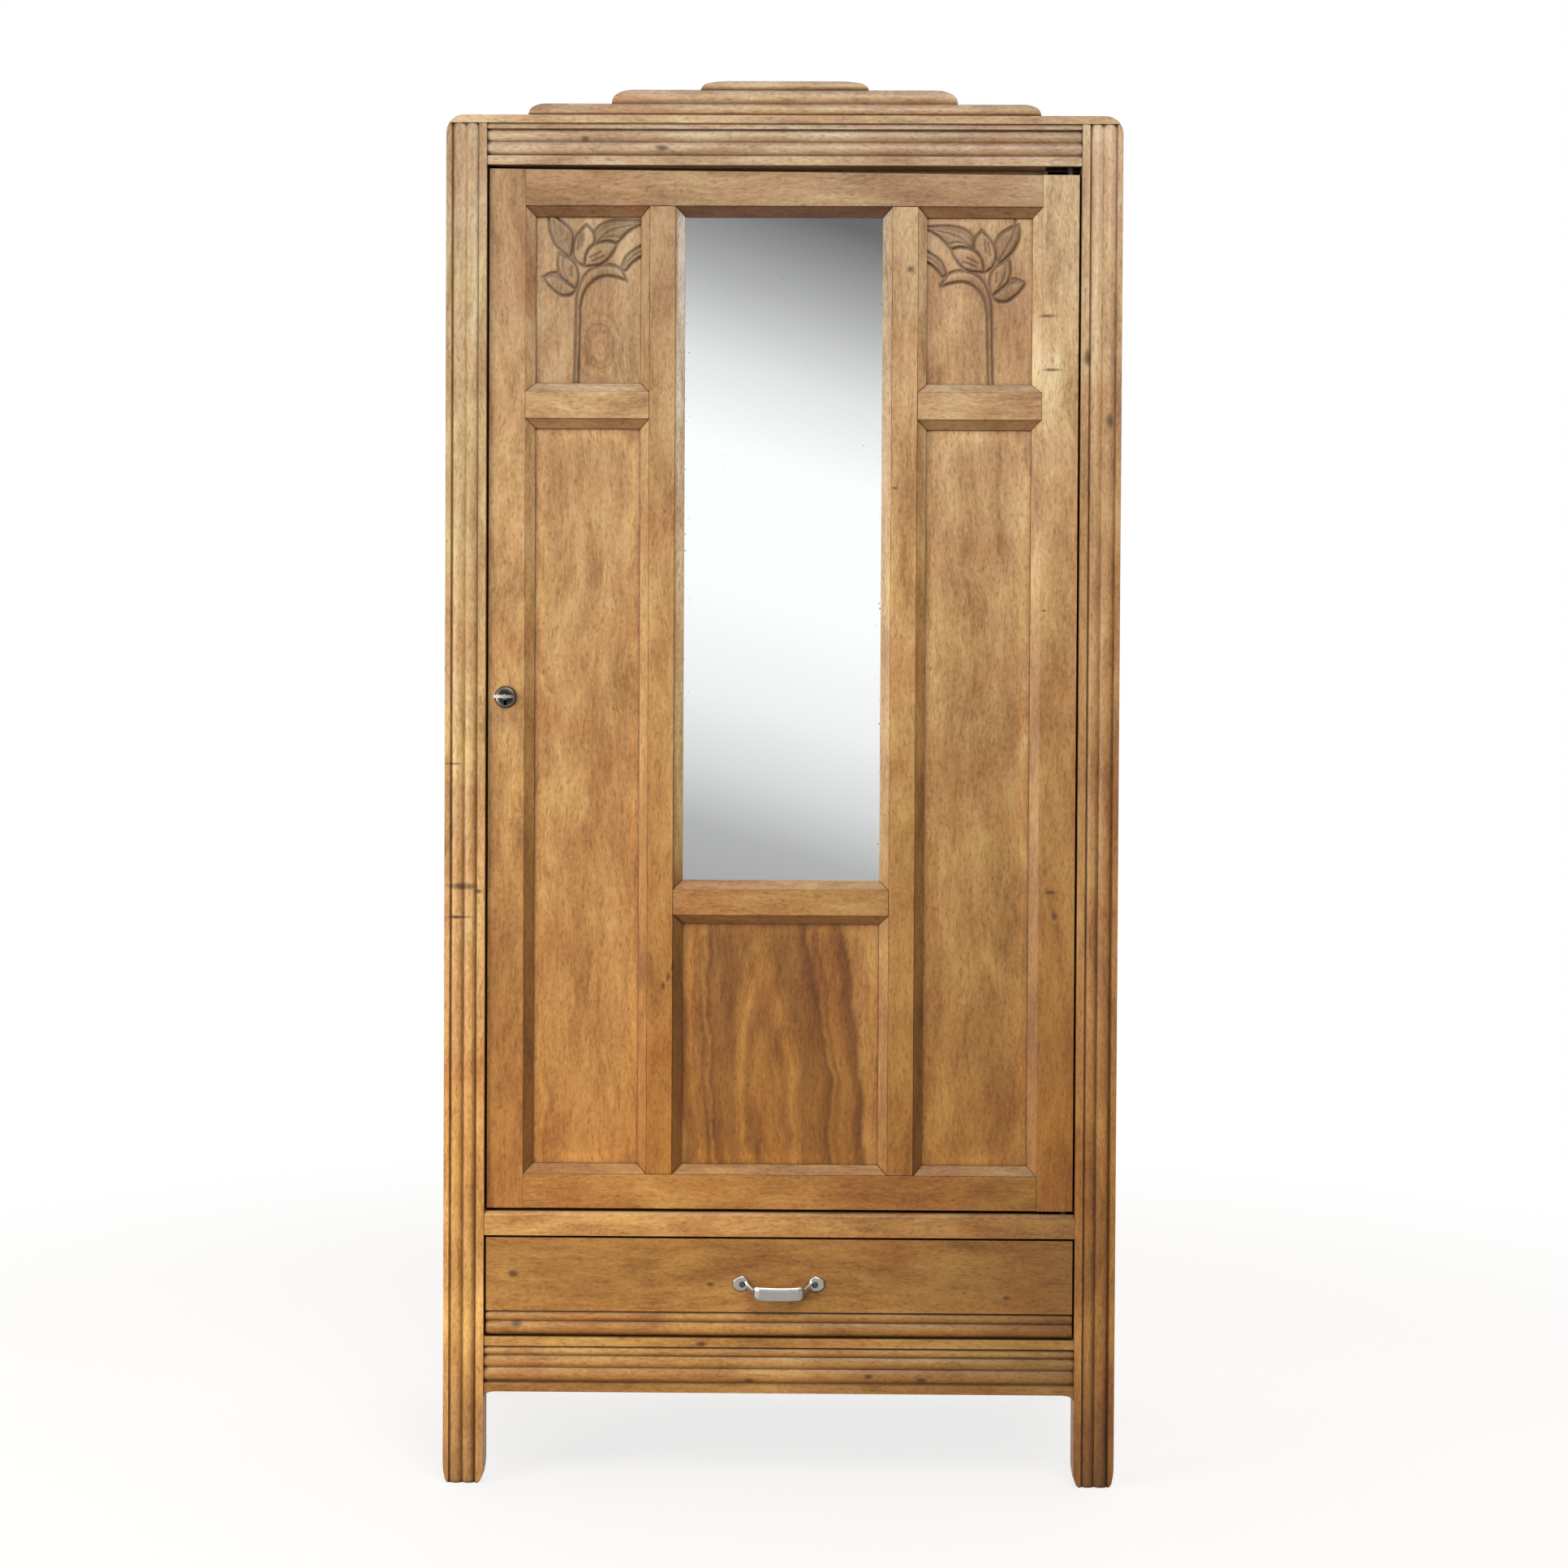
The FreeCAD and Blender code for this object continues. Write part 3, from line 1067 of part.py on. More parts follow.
def build_carcass():
    """Posts, rails, panels, boards and inner fittings that stand still."""
    top_rail, top_ends = side_rail(FRIEZE_BOTTOM, POST_TOP)
    mid_rail, mid_ends = side_rail(SIDE_MID_BOTTOM, SIDE_MID_TOP)
    low_rail, low_ends = side_rail(APRON_BOTTOM, APRON_TOP)
    upper_panel = side_panel(SIDE_MID_TOP, FRIEZE_BOTTOM)
    lower_panel = side_panel(APRON_TOP, SIDE_MID_BOTTOM)
    side_cuts = top_ends + mid_ends + low_ends + [upper_panel, lower_panel]
    floor = inner_board(FLOOR_TOP, SIDE_INNER + FLOOR_TONGUE)

    tenon_front = FRONT + TENON_SETBACK
    frieze_ends = rail_tenons(FRIEZE_BOTTOM, POST_TOP, tenon_front, OPENING)
    divider_ends = rail_tenons(DIVIDER_BOTTOM, DIVIDER_TOP, tenon_front, OPENING)
    apron_ends = rail_tenons(APRON_BOTTOM, APRON_TOP, tenon_front - RAIL_SETBACK, OPENING)
    back_y = BACK_RAIL_FRONT + (BACK_RAIL_THICKNESS - TENON_THICKNESS) / 2
    back_top_ends = rail_tenons(FRIEZE_BOTTOM, POST_TOP, back_y, OPENING)
    back_low_ends = rail_tenons(APRON_BOTTOM, APRON_TOP, back_y, OPENING)

    front_cuts = [frieze_ends[1], divider_ends[1], apron_ends[1]]
    right_front = front_post().cut(side_cuts + front_cuts)
    strike = strike_plate()
    bolt_hole = strike_hole(STRIKE_CLEARANCE, BOLT_THROW + STRIKE_END_GAP)
    left_front = mirrored(right_front).cut([strike, bolt_hole])

    back_panels = []
    for side in (-1, 1):
        inner = side * (BACK_MUNTIN_HALF_WIDTH - PANEL_TONGUE)
        outer = side * (OPENING + PANEL_TONGUE)
        x0, x1 = sorted((inner, outer))
        low = APRON_TOP - PANEL_TONGUE
        high = FRIEZE_BOTTOM + PANEL_TONGUE
        panel_back = BACK_PANEL_FRONT + BACK_PANEL_THICKNESS
        back_panels.append(box(x0, x1, BACK_PANEL_FRONT, panel_back, low, high))
    rear_cuts = side_cuts + [back_top_ends[1], back_low_ends[1], back_panels[1]]
    right_rear = rear_post().cut(rear_cuts)

    wide = BACK_MUNTIN_HALF_WIDTH
    muntin = box(-wide, wide, BACK_RAIL_FRONT, BACK_RAIL_BACK, APRON_TOP, FRIEZE_BOTTOM)
    narrow = BACK_MUNTIN_HALF_WIDTH - TENON_SHOULDER
    tenon_back = back_y + TENON_THICKNESS
    muntin_ends = [
        box(-narrow, narrow, back_y, tenon_back, APRON_TOP - FRAME_TENON, APRON_TOP),
        box(-narrow, narrow, back_y, tenon_back, FRIEZE_BOTTOM, FRIEZE_BOTTOM + FRAME_TENON),
    ]
    back_top = box(-OPENING, OPENING, BACK_RAIL_FRONT, BACK_RAIL_BACK, FRIEZE_BOTTOM, POST_TOP)
    back_low = box(-OPENING, OPENING, BACK_RAIL_FRONT, BACK_RAIL_BACK, APRON_BOTTOM, APRON_TOP)

    plates = frame_pivots()
    frieze = reeded_rail(FRIEZE_BOTTOM, FRIEZE_BANDS, RAIL_FRONT, STOP_FRONT, OPENING)
    bearer = shelf_bearer()
    stops = door_stops()
    socket = rail_socket()
    runner = drawer_runner()
    return {
        "front_post_left": left_front,
        "front_post_right": right_front,
        "rear_post_left": mirrored(right_rear),
        "rear_post_right": right_rear,
        "side_top_rail_left": mirrored(top_rail.cut(upper_panel)),
        "side_top_rail_right": top_rail.cut(upper_panel),
        "side_mid_rail_left": mirrored(mid_rail.cut([upper_panel, lower_panel, floor])),
        "side_mid_rail_right": mid_rail.cut([upper_panel, lower_panel, floor]),
        "side_bottom_rail_left": mirrored(low_rail.cut(lower_panel)),
        "side_bottom_rail_right": low_rail.cut(lower_panel),
        "side_upper_panel_left": mirrored(upper_panel),
        "side_upper_panel_right": upper_panel,
        "side_lower_panel_left": mirrored(lower_panel),
        "side_lower_panel_right": lower_panel,
        "frieze_rail": tidy(frieze.fuse(frieze_ends)).cut(plates[1]),
        "cornice_board": cornice_board(),
        "crest_board": crest_board(),
        "divider_rail": tidy(divider_rail().fuse(divider_ends)).cut(plates[0]),
        "apron_rail": tidy(apron_rail().fuse(apron_ends)),
        "back_top_rail": tidy(back_top.fuse(back_top_ends)).cut(back_panels + muntin_ends),
        "back_bottom_rail": tidy(back_low.fuse(back_low_ends)).cut(back_panels + muntin_ends),
        "back_muntin": tidy(muntin.fuse(muntin_ends)).cut(back_panels),
        "back_panels": Part.makeCompound(back_panels),
        "floor_board": floor,
        "hat_shelf": shelf_board(),
        "shelf_bearers": Part.makeCompound([mirrored(bearer).cut(stops), bearer]),
        "hanging_rail": hanging_rail(),
        "rail_sockets": Part.makeCompound([mirrored(socket), socket]),
        "drawer_runners": Part.makeCompound([mirrored(runner), runner]),
        "door_stops": Part.makeCompound(stops),
        "strike_plate": strike,
        "frame_pivot_plates": Part.makeCompound(plates),
    }


def main():
    os.makedirs("parts", exist_ok=True)
    nodes = {}
    nodes.update(build_carcass())
    nodes.update(build_door())
    nodes.update(build_drawer())
    for name, shape in nodes.items():
        solids = len(shape.Solids)
        print(name, solids, shape.isValid(), round(shape.Volume / 1000.0, 1))
        shape.exportStep("parts/" + name + ".step")
    print(len(nodes), "nodes")


main()
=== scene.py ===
import math

import bmesh
import bpy
import numpy as np
from bpy.props import FloatProperty, FloatVectorProperty, PointerProperty
from mathutils import Euler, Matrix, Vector


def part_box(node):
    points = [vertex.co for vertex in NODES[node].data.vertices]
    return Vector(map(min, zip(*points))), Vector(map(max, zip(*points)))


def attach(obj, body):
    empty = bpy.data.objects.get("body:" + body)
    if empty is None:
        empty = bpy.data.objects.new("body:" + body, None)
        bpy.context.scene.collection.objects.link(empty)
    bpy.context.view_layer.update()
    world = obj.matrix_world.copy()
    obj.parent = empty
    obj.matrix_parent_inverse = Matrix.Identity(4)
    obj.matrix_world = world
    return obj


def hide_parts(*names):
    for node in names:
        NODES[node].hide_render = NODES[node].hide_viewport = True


bl_info = {
    "name": "Oak Mirror Wardrobe",
    "version": (1, 0, 0),
    "blender": (4, 5, 0),
    "location": "3D View > Sidebar > Wardrobe",
    "description": "Finishes, carves and lights a one-door oak wardrobe on its packed frame",
    "category": "Object",
}

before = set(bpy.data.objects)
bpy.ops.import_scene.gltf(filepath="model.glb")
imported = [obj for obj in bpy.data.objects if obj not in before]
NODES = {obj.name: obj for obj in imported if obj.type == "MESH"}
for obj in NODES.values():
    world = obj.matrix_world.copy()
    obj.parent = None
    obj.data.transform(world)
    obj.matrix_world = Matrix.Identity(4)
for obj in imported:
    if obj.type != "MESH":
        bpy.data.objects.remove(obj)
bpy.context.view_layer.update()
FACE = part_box("front_post_left")[0].y


def linear(code):
    """An sRGB hex colour as linear red, green and blue."""
    channels = [int(code[i:i + 2], 16) / 255.0 for i in (1, 3, 5)]
    return [c / 12.92 if c <= 0.04045 else ((c + 0.055) / 1.055) ** 2.4 for c in channels]


def per_mm(size):
    """Noise scale that gives a pattern of that size in millimetres."""
    return 1000.0 / size


def colour(name, words, code):
    return FloatVectorProperty(name=name, description=words, subtype="COLOR", size=3, min=0.0, max=1.0,
                               default=linear(code))


def length(name, words, metres):
    return FloatProperty(name=name, description=words, unit="LENGTH", min=0.0, default=metres)


class OakSettings(bpy.types.PropertyGroup):
    dark: colour("Late wood", "Dark lines of the grain", "#8F653C")
    middle: colour("Honey", "Main tone of the waxed oak", "#B98E5F")
    pale: colour("Early wood", "Pale lines of the grain", "#D2AC7C")
    pore_tone: colour("Pore", "Dark wax in the open pores", "#70481F")
    wax_dirt: colour("Old wax", "Dark wax in marks, and painted shade in grooves and corners", "#3E2410")
    arris: length("Arris", "Rounding of the edges of rails and posts", 0.0012)
    panel_arris: length("Panel arris", "Rounding of the edges of panels", 0.0006)
    inner_arris: length("Inner arris", "Rounding of the edges of inner boards", 0.0008)
    pore: FloatProperty(name="Pores", description="Strength of the open pores", subtype="FACTOR",
                        min=0.0, max=1.0, default=0.42)
    shade: FloatProperty(name="Painted shade at lower right", description="How much darker the wood is at the lower right",
                         subtype="FACTOR", min=0.0, max=1.0, default=0.42)


class CarvingSettings(bpy.types.PropertyGroup):
    relief: length("Relief", "Swell of the leaves between their cuts", 0.0022)
    cut_depth: length("Cut depth", "Depth of the cuts round leaves and buds", 0.002)
    cut_width: length("Cut width", "Half width of those cuts", 0.0018)
    step: length("Step", "Distance between the points of the carved surface", 0.0009)


class MetalSettings(bpy.types.PropertyGroup):
    arris: length("Handle arris", "Rounding of the edges of the drawer handle", 0.0014)
    nickel: colour("Nickel", "Plate of the drawer handle", "#A09E99")
    bright: colour("Worn steel", "The key, rubbed by hands", "#A9A899")
    steel: colour("Aged steel", "Lock and screws", "#5A554E")
    rim: colour("Escutcheon rim", "Rim of the escutcheon", "#6E6962")
    pivot: colour("Rusted steel", "Pivot plates and pins", "#3C352E")
    brass: colour("Brass", "Pivot plates and rail sockets", "#B08D4F")


class StageSettings(bpy.types.PropertyGroup):
    overhead: FloatProperty(name="Overhead lamp", description="Power of the soft lamp over the front",
                            unit="POWER", min=0.0, default=118.0)
    window: FloatProperty(name="Window lamp", description="Power of the soft lamp low at the left",
                          unit="POWER", min=0.0, default=85.0)
    fill: FloatProperty(name="Room light", description="Strength of the light from all round",
                        min=0.0, default=0.42)
    floor: colour("Floor", "Pale studio floor", "#76736E")
    floor_lift: FloatProperty(name="Floor lift", description="How much brighter the camera sees the floor",
                              min=0.0, default=0.78)
    floor_bounce: colour("Floor bounce", "What the floor throws back on the wood", "#59534B")


# Sockets 0, 6 and 7 of a mix are its share and its two colours
BLEND = {"data_type": "RGBA"}
TINT = {"data_type": "RGBA", "blend_type": "MULTIPLY"}
WHITE, BLACK = (1.0, 1.0, 1.0), (0.0, 0.0, 0.0)


def add(tree, kind, inputs=(), stops=(), **settings):
    """Adds a shader node with its settings and links.

    Inputs fill the sockets in order, or by name in a dictionary: for a map range that order is value, from min,
    from max, to min, to max. Each is a value, a node, whose first output in use is linked, or a node and the name
    of its output. Stops are the places and colours of a ramp.
    """
    node = tree.nodes.new("ShaderNode" + kind)
    for name, value in settings.items():
        setattr(node, name, value)
    for name, value in inputs.items() if isinstance(inputs, dict) else enumerate(inputs):
        socket = node.inputs[name]
        if isinstance(value, bpy.types.Node):
            tree.links.new(next(out for out in value.outputs if out.enabled), socket)
        elif isinstance(value, tuple) and isinstance(value[0], bpy.types.Node):
            tree.links.new(value[0].outputs[value[1]], socket)
        else:
            socket.default_value = (*value, 1.0) if socket.type == "RGBA" else value
    if stops:
        band = node.color_ramp.elements
        while len(band) < len(stops):
            band.new(0.5)
        for element, (place, tone) in zip(band, stops):
            element.position = place
            element.color = (*tone, 1.0)
    return node


def blank(name):
    """A new material without nodes, and its node tree."""
    material = bpy.data.materials.new(name)
    material.use_nodes = True
    material.node_tree.nodes.clear()
    return material, material.node_tree


def waxed_oak(name, along, marks=(), cut=False, panel=False, heart=False):
    """Oak, planed and waxed: fine streaks along the board, short dark pores, tone that drifts over a hand's width.

    It gives the eye a satin sheen, dark wax and painted shade in grooves and corners, an aged tone, and painted light
    and shade: paler towards the top, darker low, at the lower right and on slopes by the way they face. Marks are
    knots
    and scratches on the front: place across and up, then half their width and height.
    """
    oak = bpy.context.scene.wardrobe_oak
    material, tree = blank(name)
    coords = add(tree, "TexCoord")
    place = (coords, "Object")
    board = add(tree, "Attribute", attribute_type="OBJECT", attribute_name="board")
    shift = add(tree, "VectorMath", {0: (0.37, 0.61, 0.83), "Scale": (board, "Fac")}, operation="SCALE")
    own = add(tree, "VectorMath", [place, shift], operation="ADD")
    bend = add(tree, "TexNoise", {"Vector": own, "Scale": per_mm(190), "Detail": 3.0})
    sway = add(tree, "VectorMath", [(bend, "Color"), (-0.5, -0.5, -0.5)], operation="ADD")
    sway = add(tree, "VectorMath", {0: sway, "Scale": 0.045}, operation="SCALE")
    wavy = add(tree, "VectorMath", [own, sway], operation="ADD")

    # Width in millimetres and stretch along the board: drift of tone, streaks, pores (drawn wide, to show), flecks
    figures = []
    for width, stretch, settings in ((40, 4, {"Detail": 3.0, "Roughness": 0.55, "Distortion": 0.5}),
                                     (5, 8, {"Detail": 4.0, "Roughness": 0.65}), (2.6, 4.5, {"Detail": 1.5}),
                                     (4, 1.8, {"Detail": 2.0, "Roughness": 0.6})):
        scale = [1.0, 1.0, 1.0]
        scale["XYZ".index(along)] = 1.0 / stretch
        drawn_out = add(tree, "Mapping", {"Vector": wavy, "Scale": scale})
        figures.append(add(tree, "TexNoise", {"Vector": drawn_out, "Scale": per_mm(width), **settings}))
    drift, streaks, pores, flecks = figures
    grain = add(tree, "Mix", {0: 0.45, 6: (streaks, "Color"), 7: (flecks, "Color")}, **BLEND)
    grain = add(tree, "Mix", {0: 0.5, 6: (drift, "Color"), 7: grain}, **BLEND)
    wood = add(tree, "ValToRGB", [grain], [(0.39, oak.dark), (0.5, oak.middle), (0.61, oak.pale)])
    open_pores = add(tree, "MapRange", [pores, 0.56, 0.7, 0.0, oak.pore])
    wood = add(tree, "Mix", {0: open_pores, 6: wood, 7: oak.pore_tone}, **BLEND)
    # Hand-wide patches lean towards red or olive
    patches = add(tree, "TexNoise", {"Vector": own, "Scale": per_mm(120), "Detail": 2.0})
    tints = [(1.0, add(tree, "ValToRGB", [patches], [(0.34, (0.91, 0.82, 0.76)), (0.5, WHITE),
                                                     (0.66, (1.04, 1.07, 1.01))])),
             (1.0, add(tree, "Attribute", attribute_type="OBJECT", attribute_name="tone"))]
    if panel:
        tints.append((1.0, pale_panel_band(tree, place)))
    if heart:
        tints.append((1.0, rings(tree, place, **HEARTWOOD)))
    if cut:
        tints.append((1.0, rings(tree, place, **KNOT)))
    axes = add(tree, "SeparateXYZ", [place])
    # Painted light and shade by height, with an aged tone
    height = add(tree, "MapRange", [(axes, "Z"), 0.0, 1.9])
    tints.append((1.0, add(tree, "ValToRGB", [height], AGE_AND_PAINTED_LIGHT)))
    # Painted light and shade towards the foot and the head of an upright board
    change = WHITE
    for end, start, full in (("foot", 0.85, 0.3), ("head", 0.72, 0.88)):
        own_end = add(tree, "Attribute", attribute_type="OBJECT", attribute_name=end)
        share = add(tree, "MapRange", [height, start, full])
        part = add(tree, "VectorMath", {0: (own_end, "Vector"), "Scale": share}, operation="SCALE")
        change = add(tree, "VectorMath", [part, change], operation="ADD")
    tints.append((1.0, change))
    for share, tint in tints + slopes(tree, coords, axes, height):
        wood = add(tree, "Mix", {0: share, 6: wood, 7: tint}, **TINT)
    # Painted shade: the wood darkens towards the lower right
    low = add(tree, "MapRange", [(axes, "Z"), 1.75, 0.25], interpolation_type="SMOOTHSTEP")
    right = add(tree, "MapRange", [(axes, "X"), -0.1, 0.45])
    shade = add(tree, "Math", [low, right], operation="MULTIPLY")
    kept = add(tree, "Math", [shade, oak.shade], operation="MULTIPLY")
    wood = add(tree, "Mix", {0: kept, 6: wood, 7: BLACK}, **BLEND)
    for x, z, wide, tall in marks:
        gap = add(tree, "VectorMath", [place, (x, FACE, z)], operation="SUBTRACT")
        # 30 per metre in depth: the mark stays within 33 mm of the front
        gap = add(tree, "VectorMath", [gap, (1 / wide, 30.0, 1 / tall)], operation="MULTIPLY")
        far = add(tree, "VectorMath", [gap], operation="LENGTH")
        mark = add(tree, "MapRange", [far, 0.2, 1.0, 0.8, 0.0], interpolation_type="SMOOTHSTEP")
        wood = add(tree, "Mix", {0: mark, 6: wood, 7: oak.wax_dirt}, **BLEND)
    if cut:
        # Old wax and painted shade in and beside the cuts of the carving
        wax_and_shade = add(tree, "Attribute", attribute_type="GEOMETRY", attribute_name="wax_and_shade")
        wood = add(tree, "Mix", {0: (wax_and_shade, "Fac"), 6: wood, 7: linear("#55402E")}, **BLEND)
    # Old wax and painted shade darken the wood within 7 mm of inner corners
    corner = add(tree, "AmbientOcclusion", {"Distance": 0.007}, samples=8)
    dirt_and_shade = add(tree, "MapRange", [(corner, "AO"), 0.35, 0.9, 0.85, 0.0])
    wood = add(tree, "Mix", {0: dirt_and_shade, 6: wood, 7: oak.wax_dirt}, **BLEND)
    sheen = add(tree, "MapRange", [streaks, 0.3, 0.7, 0.38, 0.54])
    relief = add(tree, "Math", [streaks, open_pores], operation="SUBTRACT")
    bump = add(tree, "Bump", {"Height": relief, "Strength": 0.35, "Distance": 0.0006})
    surface = add(tree, "BsdfPrincipled", {"Base Color": wood, "Roughness": sheen, "IOR": 1.5,
                                           "Specular IOR Level": 0.4, "Normal": bump})
    add(tree, "OutputMaterial", [surface])
    return material


def slopes(tree, coords, axes, height):
    """Paints light and shade by the way a slope faces: a grey sheen on slopes that look up, shade on those that look
    down and most over the glass, and on those that look right shade low and light high.

    Gives pairs of a share and the colour that it tints with.
    """
    facing = add(tree, "SeparateXYZ", [(coords, "Normal")])
    # Painted sheen on slopes that look up, painted shade on those that look down
    up = add(tree, "MapRange", [(facing, "Z"), 0.2, 0.5])
    down = add(tree, "MapRange", [(facing, "Z"), -0.2, -0.5])
    # The opening of the mirror: 150 mm to both sides, and below the crest
    side = add(tree, "Math", [(axes, "X")], operation="ABSOLUTE")
    beside = add(tree, "MapRange", [side, 0.152, 0.148])
    under = add(tree, "MapRange", [height, 0.965, 0.955])
    over = add(tree, "Math", [beside, under], operation="MULTIPLY")
    # Painted shade on the slope over the glass that looks down
    top = add(tree, "MapRange", [height, 0.88, 0.92])
    painted_shade_over_glass = add(tree, "Math", [over, top], operation="MULTIPLY")
    painted_shade_over_glass = add(tree, "Math", [painted_shade_over_glass, down], operation="MULTIPLY")
    # The glass throws grey light on the slopes beside it
    high = add(tree, "MapRange", [height, 0.45, 0.47])
    glass = add(tree, "Math", [over, high], operation="MULTIPLY")
    turn = add(tree, "MapRange", [(facing, "X"), -1.0, 1.0])
    grey = add(tree, "ValToRGB", [turn], [(0.35, (0.97, 1.1, 1.45)), (0.45, WHITE), (0.55, WHITE),
                                          (0.65, (1.45, 1.9, 3.0))])
    # Painted light and shade on slopes that look right: darker low, lighter high
    right = add(tree, "ValToRGB", [(facing, "X")], [(0.2, BLACK), (0.5, WHITE), (0.85, WHITE), (0.95, BLACK)])
    tone = add(tree, "ValToRGB", [height], [(0.4, (0.6, 0.56, 0.46)), (0.62, (0.96, 0.95, 0.93)),
                                            (0.85, (1.25, 1.35, 1.5))])
    return [(up, (0.8, 0.9, 1.15)), (down, (0.8, 0.7, 0.62)), (painted_shade_over_glass, (0.46, 0.38, 0.4)), (glass, grey),
            (right, tone)]


def pale_panel_band(tree, place):
    """A pale band with round corners inside the edge of a panel."""
    middle = add(tree, "Attribute", attribute_type="OBJECT", attribute_name="middle")
    inner = add(tree, "Attribute", attribute_type="OBJECT", attribute_name="inner")
    gap = add(tree, "VectorMath", [place, (middle, "Vector")], operation="SUBTRACT")
    gap = add(tree, "VectorMath", [gap], operation="ABSOLUTE")
    gap = add(tree, "VectorMath", [gap, (inner, "Vector")], operation="SUBTRACT")
    gap = add(tree, "VectorMath", [gap, (0.0, 0.0, 0.0)], operation="MAXIMUM")
    far = add(tree, "VectorMath", [gap], operation="LENGTH")
    share = add(tree, "MapRange", [far, 0.0, RIM])
    return add(tree, "ValToRGB", [share], [(0.3, (0.95, 0.93, 0.9)), (0.6, WHITE), (0.78, (1.16, 1.14, 1.08)),
                                           (0.98, (1.02, 1.0, 1.06))])


def rings(tree, place, middle, turn, squeeze, bend, ring, tones, fade):
    """Rings of grain round their middle: bent, turned, drawn out upwards and faded into the plain board.

    Bend is the size of its waves in millimetres, their detail and their reach; ring is the width of a ring in
    millimetres and its detail.
    """
    wave, wave_detail, reach = bend
    sway = add(tree, "TexNoise", {"Vector": place, "Scale": per_mm(wave), "Detail": wave_detail})
    moved = add(tree, "VectorMath", {0: (sway, "Color"), "Scale": reach}, operation="SCALE")
    there = add(tree, "VectorMath", [place, moved], operation="ADD")
    there = add(tree, "VectorMath", [there, middle], operation="SUBTRACT")
    there = add(tree, "Mapping", {"Vector": there, "Rotation": (0.0, turn, 0.0)})
    there = add(tree, "VectorMath", [there, (1.0, 0.0, squeeze)], operation="MULTIPLY")
    far = add(tree, "VectorMath", [there], operation="LENGTH")
    width, detail = ring
    bands = add(tree, "TexNoise", {"W": far, "Scale": per_mm(width), "Detail": detail}, noise_dimensions="1D")
    bands = add(tree, "ValToRGB", [bands], tones)
    off = add(tree, "MapRange", [far, *fade], interpolation_type="SMOOTHSTEP")
    return add(tree, "Mix", {0: off, 6: bands, 7: WHITE}, **BLEND)


def plain_softwood(name, along, tone, deep):
    """Planed beech or pine without finish: pale, matt, with faint even grain."""
    material, tree = blank(name)
    scale = [1.0, 1.0, 1.0]
    scale["XYZ".index(along)] = 0.05
    turned = add(tree, "Mapping", {"Vector": (add(tree, "TexCoord"), "Object"), "Scale": scale})
    grain = add(tree, "TexNoise", {"Vector": turned, "Scale": per_mm(9), "Detail": 5.0, "Distortion": 0.4})
    wood = add(tree, "ValToRGB", [grain], [(0.32, linear(deep)), (0.62, linear(tone))])
    # Dust and painted shade within 30 mm of corners
    corner = add(tree, "AmbientOcclusion", {"Distance": 0.03}, samples=4)
    dust_and_shade = add(tree, "MapRange", [(corner, "AO"), 0.2, 0.9, 0.35, 0.0])
    wood = add(tree, "Mix", {0: dust_and_shade, 6: wood, 7: linear("#5C452B")}, **BLEND)
    bump = add(tree, "Bump", {"Height": grain, "Strength": 0.2, "Distance": 0.0004})
    surface = add(tree, "BsdfPrincipled", {"Base Color": wood, "Roughness": 0.68, "IOR": 1.45, "Normal": bump})
    add(tree, "OutputMaterial", [surface])
    return material


def plated_metal(name, tone, rough, dull, blotch, rounded_with_painted_highlight=False, dome=None):
    """Plated or aged metal: satin, with cloudy tarnish and darker recesses.

    On metal that hands hold, the shading rounds the edges, and those that look up get a painted highlight. A dome,
    given by the place of its middle, gets a painted shadow inside its rim.
    """
    material, tree = blank(name)
    place = (add(tree, "TexCoord"), "Object")
    clouds = add(tree, "TexNoise", {"Vector": place, "Scale": per_mm(7), "Detail": 4.0})
    marks = add(tree, "MapRange", [clouds, 0.4, 0.7, 0.0, blotch])
    metal = add(tree, "Mix", {0: marks, 6: tone, 7: linear(dull)}, **BLEND)
    if dome:
        # Painted shadow inside the rim of the dome
        gap = add(tree, "VectorMath", [place, dome], operation="SUBTRACT")
        gap = add(tree, "VectorMath", [gap, (1.0, 0.0, 1.0)], operation="MULTIPLY")
        gap = add(tree, "VectorMath", [gap], operation="LENGTH")
        dome_painted_shadow = add(tree, "MapRange", [gap, 0.0125, 0.0105, 0.0, 0.8])
        metal = add(tree, "Mix", {0: dome_painted_shadow, 6: metal, 7: linear("#1B1715")}, **BLEND)
    corner = add(tree, "AmbientOcclusion", {"Distance": 0.006}, samples=4)
    grime = add(tree, "MapRange", [(corner, "AO"), 0.3, 0.9, 0.8, 0.0])
    metal = add(tree, "Mix", {0: grime, 6: metal, 7: linear("#1E1A16")}, **BLEND)
    sheen = add(tree, "MapRange", [clouds, 0.3, 0.7, rough - 0.06, rough + 0.1])
    finish = {"Metallic": 1.0, "Roughness": sheen}
    if rounded_with_painted_highlight:
        rounded = add(tree, "Bevel", {"Radius": 0.0026}, samples=16)
        # Painted highlight on the edges that look up
        facing = add(tree, "SeparateXYZ", [rounded])
        rubbed = add(tree, "MapRange", [(facing, "Z"), 0.1, 0.55])
        metal = add(tree, "Mix", {0: rubbed, 6: metal, 7: linear("#F2F0EC")}, **BLEND)
        finish["Normal"] = rounded
    add(tree, "OutputMaterial", [add(tree, "BsdfPrincipled", {"Base Color": metal, **finish})])
    return material


